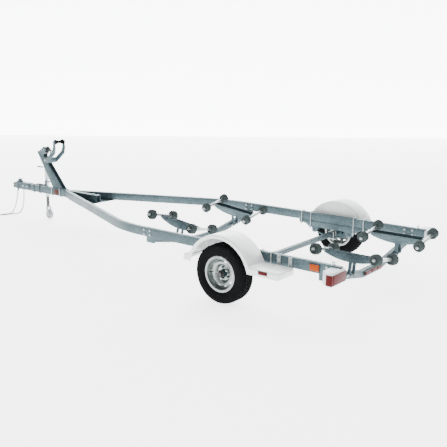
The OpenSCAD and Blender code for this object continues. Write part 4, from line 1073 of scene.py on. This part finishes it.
class TRAILER_OT_fenders(bpy.types.Operator):
    """Builds the moulded fenders: an arch between two steps, hollow below, with a rolled edge"""

    bl_idname = "trailer.fenders"
    bl_label = "Fenders"

    def execute(self, context):
        low, high = (Vector(corner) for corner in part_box("fender_left"))
        axle_z, arch, step, skirt = 0.300, high.z - 0.300, 0.445, low.z
        meet = math.degrees(math.asin((step - axle_z) / arch))
        corners = [(low.x, skirt, 0), (low.x, step, 0.022)]
        crown = [
            (AXLE_X + arch * math.cos(math.radians(a)), axle_z + arch * math.sin(math.radians(a)))
            for a in [180 - meet - (180 - 2 * meet) * i / 28 for i in range(29)]
        ]
        corners += [(*crown[0], 0.03)] + [(x, z, 0) for x, z in crown[1:-1]] + [(*crown[-1], 0.03)]
        corners += [(high.x, step, 0.022), (high.x, skirt, 0)]
        top = filleted(corners)
        opening = arch - 0.032
        start = math.degrees(math.asin((skirt - axle_z) / opening))
        under = [
            (AXLE_X + opening * math.cos(math.radians(a)), axle_z + opening * math.sin(math.radians(a)))
            for a in [start + (180 - 2 * start) * i / 28 for i in range(29)]
        ]
        width = high.y - low.y
        fender = outline("fender_shell_left", top + under, width, (low.y + high.y) / 2)
        shape = set((round(x, 5), round(z, 5)) for x, z in under)

        def opening_side(middle, normal):
            inner_side = abs(middle.y - low.y) < 1e-4
            radius = math.hypot(middle.x - AXLE_X, middle.z - axle_z)
            below = abs(normal.y) < 0.5 and (radius < opening + 0.002 or middle.z < skirt + 0.002)
            return inner_side or below

        pick(fender, opening_side)
        bpy.ops.mesh.delete(type="FACE")
        bpy.ops.object.mode_set(mode="OBJECT")

        def shoulder(a, b):
            def on_top(p):
                return p.z > skirt + 0.012 and (round(p.x, 5), round(p.z, 5)) not in shape
            return abs(a.y - high.y) < 1e-5 and abs(b.y - high.y) < 1e-5 and on_top(a) and on_top(b)

        pick(fender, shoulder, "EDGE")
        bpy.ops.mesh.bevel(offset=sizes().fender_edge, segments=5, profile=0.55)
        bpy.ops.mesh.select_all(action="SELECT")
        bpy.ops.mesh.normals_make_consistent(inside=False)
        bpy.ops.object.mode_set(mode="OBJECT")
        apply_modifier(fender, "SOLIDIFY", thickness=0.004, offset=-1, use_even_offset=True)
        soften(fender, 0.0012, 2, 50)
        lip_points = [(x, high.y - 0.0035, z) for x, z in under]
        lip = rod("fender_lip_left", lip_points, 0.0048, 3)
        # Closed inner side of the arch
        wall = outline("fender_wall", crown, 0.004, low.y + 0.002)
        soften(wall, 0.001, 2, 50)
        fender = join("fender_shell_left", [fender, lip, wall])
        other = mirrored(fender, "fender_shell_right")
        finish_piece(fender, "white_plastic", "frame", "fender_left")
        finish_piece(other, "white_plastic", "frame", "fender_right")
        button = disc("fender_rivet", (0, 0, 0.0015), UP, 0.009, 0.003, 20, 0.0012, 0.8)
        spots = []
        for x in FENDER_BOLTS_AT:
            for dy in (0.045, 0.075):
                spots.append(at(AXLE_X + x, low.y + dy, step, (0, 0, 1)))
        finish_piece(both(stamp("fender_rivets_left", button, spots), "fender_rivets"), "bright_zinc", "frame")
        return {"FINISHED"}


# ---------------------------------------------------------------- lamps and loops


def lamp(name, low, high, face, material, bezel="black_paint", rim=0.008):
    """A framed lens between two corners, facing along one axis; returns its bezel."""
    axis = max(range(3), key=lambda i: abs(face[i]))
    sign = 1 if face[axis] > 0 else -1
    back, front = (low[axis], high[axis]) if sign > 0 else (high[axis], low[axis])
    middle = back + (front - back) * 0.6
    others = [i for i in range(3) if i != axis]
    frame_low, frame_high = list(low), list(high)
    frame_low[axis], frame_high[axis] = min(back, middle), max(back, middle)
    inner_low, inner_high = list(low), list(high)
    for i in others:
        inner_low[i] += rim
        inner_high[i] -= rim
    inner_low[axis], inner_high[axis] = min(back, front), max(back, front)
    rim_piece = block(name + "_bezel", frame_low, frame_high, 0.003, 3)
    glass = block(name + "_lens", inner_low, inner_high, 0.0035, 3)
    finish_piece(glass, material, "frame")
    return finish_piece(rim_piece, bezel, "frame")


class TRAILER_OT_lamps(bpy.types.Operator):
    """Builds the tail lights in their guards, the side reflectors, the marker lamps and the rear light bar"""

    bl_idname = "trailer.lamps"
    bl_label = "Lamps"

    def execute(self, context):
        finish_node("tail_lights", 4, "lamp_housing", segments=3)
        low, high = (Vector(c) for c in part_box("tail_lenses"))
        for side, sign in (("left", 1), ("right", -1)):
            y0, y1 = sorted((sign * (high.y - 0.254), sign * high.y))
            rim = lamp(
                "tail_lamp_" + side, (low.x, y0, low.z), (high.x, y1, high.z), (-1, 0, 0),
                "red_lens", "lamp_housing", 0.010,
            )
            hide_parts("tail_lenses")
            y0, y1 = sorted((sign * (high.y - 0.002), sign * (high.y + 0.0055)))
            wrap = block(
                "tail_wrap_" + side, (low.x + 0.004, y0, low.z + 0.008), (low.x + 0.068, y1, high.z - 0.008), 0.003, 3
            )
            finish_piece(wrap, "red_lens", "frame")
        for side, sign in (("left", 1), ("right", -1)):
            x = AXLE_X - 0.905
            y0, y1 = sorted((sign * RAIL_OUTER, sign * (RAIL_OUTER + 0.016)))
            rim = lamp(
                "side_reflector_" + side, (x - 0.055, y0, 0.442), (x + 0.055, y1, REFLECTOR_TOP), (0, sign, 0),
                "amber_lens",
            )
            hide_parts("side_markers")
            # The reflectors on the tongue take the amber lens darkened with painted shade
            y0, y1 = sorted((sign * 0.038, sign * 0.043))
            x = AXLE_X + 4.022
            lamp(
                "tongue_reflector_" + side, (x, y0, 0.444), (x + 0.120, y1, REFLECTOR_TOP), (0, sign, 0),
                "painted_shade_amber_lens", rim=0.004,
            )
            fhigh = Vector(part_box("fender_left")[1])
            y0, y1 = sorted((sign * (fhigh.y - 0.110), sign * (fhigh.y - 0.020)))
            lamp(
                "fender_lamp_" + side, (fhigh.x, y0, MARKER_LOW), (fhigh.x + 0.010, y1, MARKER_TOP), (1, 0, 0),
                "amber_lens", rim=0.004,
            )
            y0, y1 = sorted((sign * fhigh.y, sign * 1.295))
            x = AXLE_X - 0.533
            rim = lamp(
                "fender_marker_" + side, (x - 0.052, y0, MARKER_LOW), (x + 0.052, y1, MARKER_TOP), (0, sign, 0),
                "red_lens", rim=0.005,
            )
            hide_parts("fender_markers")
        low, high = (Vector(c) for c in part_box("rear_light_bar"))
        base = block("light_bar_base", (low.x + 0.008, low.y, low.z), high, 0.002, 2)
        finish_piece(base, "black_paint", "frame", "rear_light_bar")
        for i in range(3):
            y = (i - 1) * 0.128
            piece = block(
                f"light_bar_lens_{i}", (low.x, y - 0.058, low.z + 0.004),
                (high.x - 0.010, y + 0.058, high.z - 0.004), 0.003, 3,
            )
            finish_piece(piece, "red_lens", "frame")
        x, z, bow = AXLE_X - 1.080, RAIL_TOP + 0.012, 0.021
        hoop = [(x, RAIL_MIDDLE - bow, RAIL_TOP)] + arc((x, RAIL_MIDDLE, z), bow, 180, 0, 14)
        loops = [rod("tie_loop", hoop + [(x, RAIL_MIDDLE + bow, RAIL_TOP)], 0.005)]
        for dy in (-bow, bow):
            loops.append(disc("loop_foot", (x, RAIL_MIDDLE + dy, RAIL_TOP + 0.0015), UP, 0.009, 0.003, 20, 0.001))
        finish_piece(both(join("tie_loops_left", loops), "tie_loops"), "bright_zinc", "frame", "tie_down_loops")
        return {"FINISHED"}


# ---------------------------------------------------------------- coupler and jack


class TRAILER_OT_coupler(bpy.types.Operator):
    """Finishes the coupler: pressed edges, latch lever with its pin, bolts and the chain eyes"""

    bl_idname = "trailer.coupler"
    bl_label = "Coupler"

    def execute(self, context):
        finish_node("coupler", 2.2, "galvanised_steel", segments=3)
        finish_node("coupler_latch", 1.6, "galvanised_steel")
        x, top = AXLE_X + LATCH_AT, RAIL_TOP + 0.005
        lever = outline("latch_lever", filleted([
            (x - 0.020, top + 0.040, 0.004), (x + 0.030, top + 0.040, 0.004), (x + 0.034, top + 0.045, 0.003),
            (x + 0.010, top + 0.052, 0.01), (x - 0.050, top + 0.050, 0.004), (x - 0.054, top + 0.046, 0.003),
        ]), 0.030)
        finish_piece(soften(lever, 0.001, 2), "galvanised_steel", "frame")
        ears = []
        for sign in (-1, 1):
            ear = outline("latch_ear", filleted([
                (x - 0.050, top - 0.001, 0), (x + 0.052, top - 0.001, 0), (x + 0.044, top + 0.022, 0.008),
                (x - 0.036, top + 0.024, 0.008),
            ]), 0.004, sign * 0.0165)
            ears.append(soften(ear, 0.0008, 2))
        finish_piece(join("latch_ears", ears), "galvanised_steel", "frame")
        head = bolt_head("coupler_bolt", 19 * MM)
        far = nut("coupler_nut", 19 * MM)
        heads = [at(AXLE_X + px, 0.043, 0.490, (0, 1, 0)) for px in (4.80, 4.90)]
        nuts = [at(AXLE_X + px, -0.043, 0.490, (0, -1, 0)) for px in (4.80, 4.90)]
        heads += [at(x + 0.036, 0.0185, top + 0.010, (0, 1, 0))]
        finish_piece(stamp("coupler_bolts", head, heads), "bright_zinc", "frame")
        finish_piece(stamp("coupler_nuts", far, nuts), "bright_zinc", "frame")
        shackles = []
        for sign in (-1, 1):
            foot = (AXLE_X + LATCH_AT, sign * 0.0535, 0.420)
            bow = arc((foot[0], foot[1], foot[2] - 0.010), 0.0105, -80, 260, 18, "YZ")
            shackles.append(rod("eye_ring", bow, 0.0032, 3))
        finish_piece(join("eye_rings", shackles), "chain_zinc", "frame")
        rims = [weld("coupler_weld", [
            (AXLE_X + 4.751, sign * 0.0432, 0.462), (AXLE_X + 4.751, sign * 0.0432, 0.533),
        ], 0.005) for sign in (-1, 1)]
        finish_piece(join("coupler_welds", rims), "galvanised_steel", "frame")
        return {"FINISHED"}


class TRAILER_OT_jack(bpy.types.Operator):
    """Finishes the tongue jack: tube with gear cap and crank, leg, castor fork and wheel, and its clamp plate"""

    bl_idname = "trailer.jack"
    bl_label = "Jack"

    def execute(self, context):
        finish_node("jack_bracket", 1.2, "galvanised_steel")
        x, y = AXLE_X + 4.5, centre("jack_leg").y
        finish_node("jack_tube", 1.2, "bright_zinc", "jack_body")
        rings = []
        for z, radius, height in ((0.352, 0.0315, 0.014), (0.742, 0.0320, 0.012)):
            rings.append(disc("tube_collar", (x, y, z), UP, radius, height, 48, 0.002))
        cap = lathe("gear_cap", [
            (0.782, 0.0245), (0.786, 0.022), (0.788, 0.014), (0.797, 0.012), (0.799, 0.0005),
        ], 40)
        cap.data.transform(Matrix.Translation((x, y, 0)) @ Matrix.Rotation(math.pi / 2, 4, "X"))
        cap.data.flip_normals()
        finish_piece(join("jack_collars", rings + [soften(cap)]), "bright_zinc", "jack_body")
        crank_z = 0.794
        points = [(x, y, 0.782), (x, y, crank_z - 0.004), (x + 0.004, y, crank_z)] + [
            (x + t, y, crank_z) for t in (0.02, 0.07, 0.10)
        ]
        arm = rod("crank_arm", points, 0.006, 4)
        finish_piece(arm, "black_paint", "jack_body", "jack_crank")
        grip = lathe("crank_grip", [
            (0.098, 0.0065), (0.099, 0.010), (0.104, 0.0118), (0.118, 0.0125), (0.140, 0.0112), (0.160, 0.0118),
            (0.190, 0.0128), (0.210, 0.0120), (0.217, 0.0085), (0.219, 0.0005),
        ], 32)
        grip.data.transform(Matrix.Translation((x, y, crank_z)) @ Matrix.Rotation(-math.pi / 2, 4, "Z"))
        finish_piece(soften(grip), "black_paint", "jack_body")
        finish_node("jack_leg", 1.0, "black_paint", "jack_leg_body")
        finish_node("jack_fork", 1.0, "bright_zinc", "jack_fork_body")
        bearing = disc("fork_bearing", (x, y, 0.1965), UP, 0.027, 0.009, 40, 0.002)
        finish_piece(bearing, "bright_zinc", "jack_fork_body")
        axle_nut = nut("fork_nut", 17 * MM, 0.004)
        spots = [at(x - 0.025, y + sign * 0.032, 0.075, (0, sign, 0)) for sign in (-1, 1)]
        finish_piece(stamp("fork_nuts", axle_nut, spots), "bright_zinc", "jack_fork_body")
        half, outer = 0.021, 0.075
        ring = [
            (-half, 0.0085), (-half, 0.020), (-half + 0.002, 0.0225), (-half + 0.008, 0.024), (-half + 0.008, 0.050),
            (-half + 0.002, 0.0535), (-half + 0.001, 0.058), (-half + 0.003, 0.0695), (-half + 0.008, 0.0735),
            (-half + 0.014, outer),
        ]
        ring += [(-v, r) for v, r in reversed(ring)]
        wheel = lathe("jack_roller", [*ring, ring[0]], 60)

        def web(middle, normal):
            radius = math.hypot(middle.x, middle.z)
            turned = math.degrees(math.atan2(middle.z, middle.x)) % 60
            return 0.026 < radius < 0.048 and abs(normal.y) > 0.9 and turned > 12

        pick(wheel, web)
        bpy.ops.mesh.inset(thickness=0.0015, depth=-0.003)
        bpy.ops.object.mode_set(mode="OBJECT")
        wheel.data.transform(Matrix.Translation((x - 0.025, y, 0.075)))
        finish_piece(soften(wheel, 0.0005, 2), "jack_wheel_plastic", "jack_wheel_body", "jack_wheel")
        clamp_nut = nut("jack_nut", 17 * MM, 0.008)
        spots = [
            at(x + dx, -0.048, z, (0, -1, 0)) for dx in (-0.010, 0.130) for z in (0.4245, 0.5375)
        ]
        finish_piece(stamp("jack_nuts", clamp_nut, spots), "bright_zinc", "frame")
        knob = disc("pull_pin_knob", (x - 0.152, -0.042, 0.598), (-1, 0, 0), 0.012, 0.026, 32, 0.004, 0.85)
        finish_piece(knob, "black_paint", "frame")
        return {"FINISHED"}


# ---------------------------------------------------------------- winch and bow stop


class TRAILER_OT_winch(bpy.types.Operator):
    """Builds the winch: side frames, drum with its strap, ratchet wheels, tie rods and the handle"""

    bl_idname = "trailer.winch"
    bl_label = "Winch"

    def execute(self, context):
        finish_node("winch", 1.0, "galvanised_steel")
        x, z, half = AXLE_X + 4.335, 1.094, 0.033
        strap = lathe("strap_roll", [
            (-half + 0.002, 0.0245), (-half + 0.002, 0.034), (-half + 0.003, 0.036), (half - 0.003, 0.036),
            (half - 0.002, 0.034), (half - 0.002, 0.0245), (-half + 0.002, 0.0245),
        ], 64)
        strap.data.transform(Matrix.Translation((x, 0, z)))
        finish_piece(soften(strap, 0.0004, 1), "strap_webbing", "frame")
        run = outline("strap_run", [
            (x - 0.036, z), (x - 0.034, z - 0.012), (x - 0.205, 1.130 - 0.054), (x - 0.207, 1.130 - 0.051),
        ], 2 * half - 0.012)
        finish_piece(soften(run, 0.0005, 1), "strap_webbing", "frame")
        teeth = []
        for i in range(18):
            a = math.tau * i / 18
            b = math.tau * (i + 0.8) / 18
            teeth.append((x + 0.034 * math.cos(a), z + 0.034 * math.sin(a)))
            teeth.append((x + 0.0405 * math.cos(b), z + 0.0405 * math.sin(b)))
        wheel = outline("ratchet_wheel", teeth, 0.006, -0.0425)
        finish_piece(soften(wheel, 0.0006, 1), "bright_zinc", "frame")
        rods = []
        for dx, dz in ((0.060, -0.020), (-0.030, -0.050)):
            rods.append(rod("winch_tie", [(x + dx, -0.041, z + dz), (x + dx, 0.041, z + dz)], 0.005, 3))
        for dx, dz in ((0.060, -0.020), (-0.030, -0.050), (0, 0)):
            size = 0.0085 if dx else 0.011
            rods.append(disc("winch_nut", (x + dx, 0.0415, z + dz), (0, 1, 0), size, 0.007, 6, 0.0008))
        finish_piece(join("winch_ties", rods), "bright_zinc", "frame")
        finish_node("winch_handle", 1.5, "black_paint")
        return {"FINISHED"}


class TRAILER_OT_bow_stop(bpy.types.Operator):
    """Builds the bow roller and finishes its bracket"""

    bl_idname = "trailer.bow_stop"
    bl_label = "Bow stop"

    def execute(self, context):
        finish_node("bow_bracket", 1.4, "galvanised_steel")
        half = 0.075
        side = [
            (-half, 0.00805), (-half, 0.030), (-half + 0.003, 0.0345), (-half + 0.008, 0.038), (-half + 0.018, 0.036),
            (-half + 0.032, 0.030), (-half + 0.048, 0.0235), (-0.012, 0.0202), (-0.003, 0.020),
        ]
        ring = side + [(-v, r) for v, r in reversed(side)]
        roller = lathe("bow_roller_rubber", [*ring, ring[0]], 64)
        place = Matrix.Translation(centre("bow_roller"))
        roller.data.transform(place)
        finish_piece(soften(roller, 0.0006, 2), "tyre_rubber", "bow_roller_body", "bow_roller")
        head = bolt_head("bow_bolt", 22 * MM)
        spots = [place @ at(0, sign * 0.098, 0, (0, sign, 0)) for sign in (-1, 1)]
        foot_x, foot_z = AXLE_X + 4.215, 0.942
        spots += [at(foot_x + dx, sign * 0.046, foot_z, (0, sign, 0)) for dx in (0.035, 0.085) for sign in (-1, 1)]
        finish_piece(stamp("bow_bolts", head, spots), "bright_zinc", "frame")
        return {"FINISHED"}


# ---------------------------------------------------------------- add-on

STEPS = (
    TRAILER_OT_materials, TRAILER_OT_stage, TRAILER_OT_chains, TRAILER_OT_frame, TRAILER_OT_suspension,
    TRAILER_OT_wheels, TRAILER_OT_rollers, TRAILER_OT_cradles, TRAILER_OT_fenders, TRAILER_OT_lamps,
    TRAILER_OT_coupler, TRAILER_OT_jack, TRAILER_OT_winch, TRAILER_OT_bow_stop,
)


class TRAILER_PT_panel(bpy.types.Panel):
    """Lists the steps that build the trailer, and its sizes and colours"""

    bl_idname = "TRAILER_PT_panel"
    bl_label = "Roller boat trailer"
    bl_space_type = "VIEW_3D"
    bl_region_type = "UI"
    bl_category = "Trailer"

    def draw(self, context):
        for step in STEPS:
            self.layout.operator(step.bl_idname, text=step.bl_label)
        for group in (context.scene.trailer_sizes, context.scene.trailer_colours):
            for name in group.__annotations__:
                self.layout.prop(group, name)


CLASSES = (TrailerColours, TrailerSizes, *STEPS, TRAILER_PT_panel)


def register():
    for cls in CLASSES:
        bpy.utils.register_class(cls)
    bpy.types.Scene.trailer_colours = PointerProperty(type=TrailerColours)
    bpy.types.Scene.trailer_sizes = PointerProperty(type=TrailerSizes)


def unregister():
    del bpy.types.Scene.trailer_sizes
    del bpy.types.Scene.trailer_colours
    for cls in reversed(CLASSES):
        bpy.utils.unregister_class(cls)


def main():
    register()
    for step in STEPS:
        group, name = step.bl_idname.split(".")
        getattr(getattr(bpy.ops, group), name)()


if __name__ == "__main__":
    main()
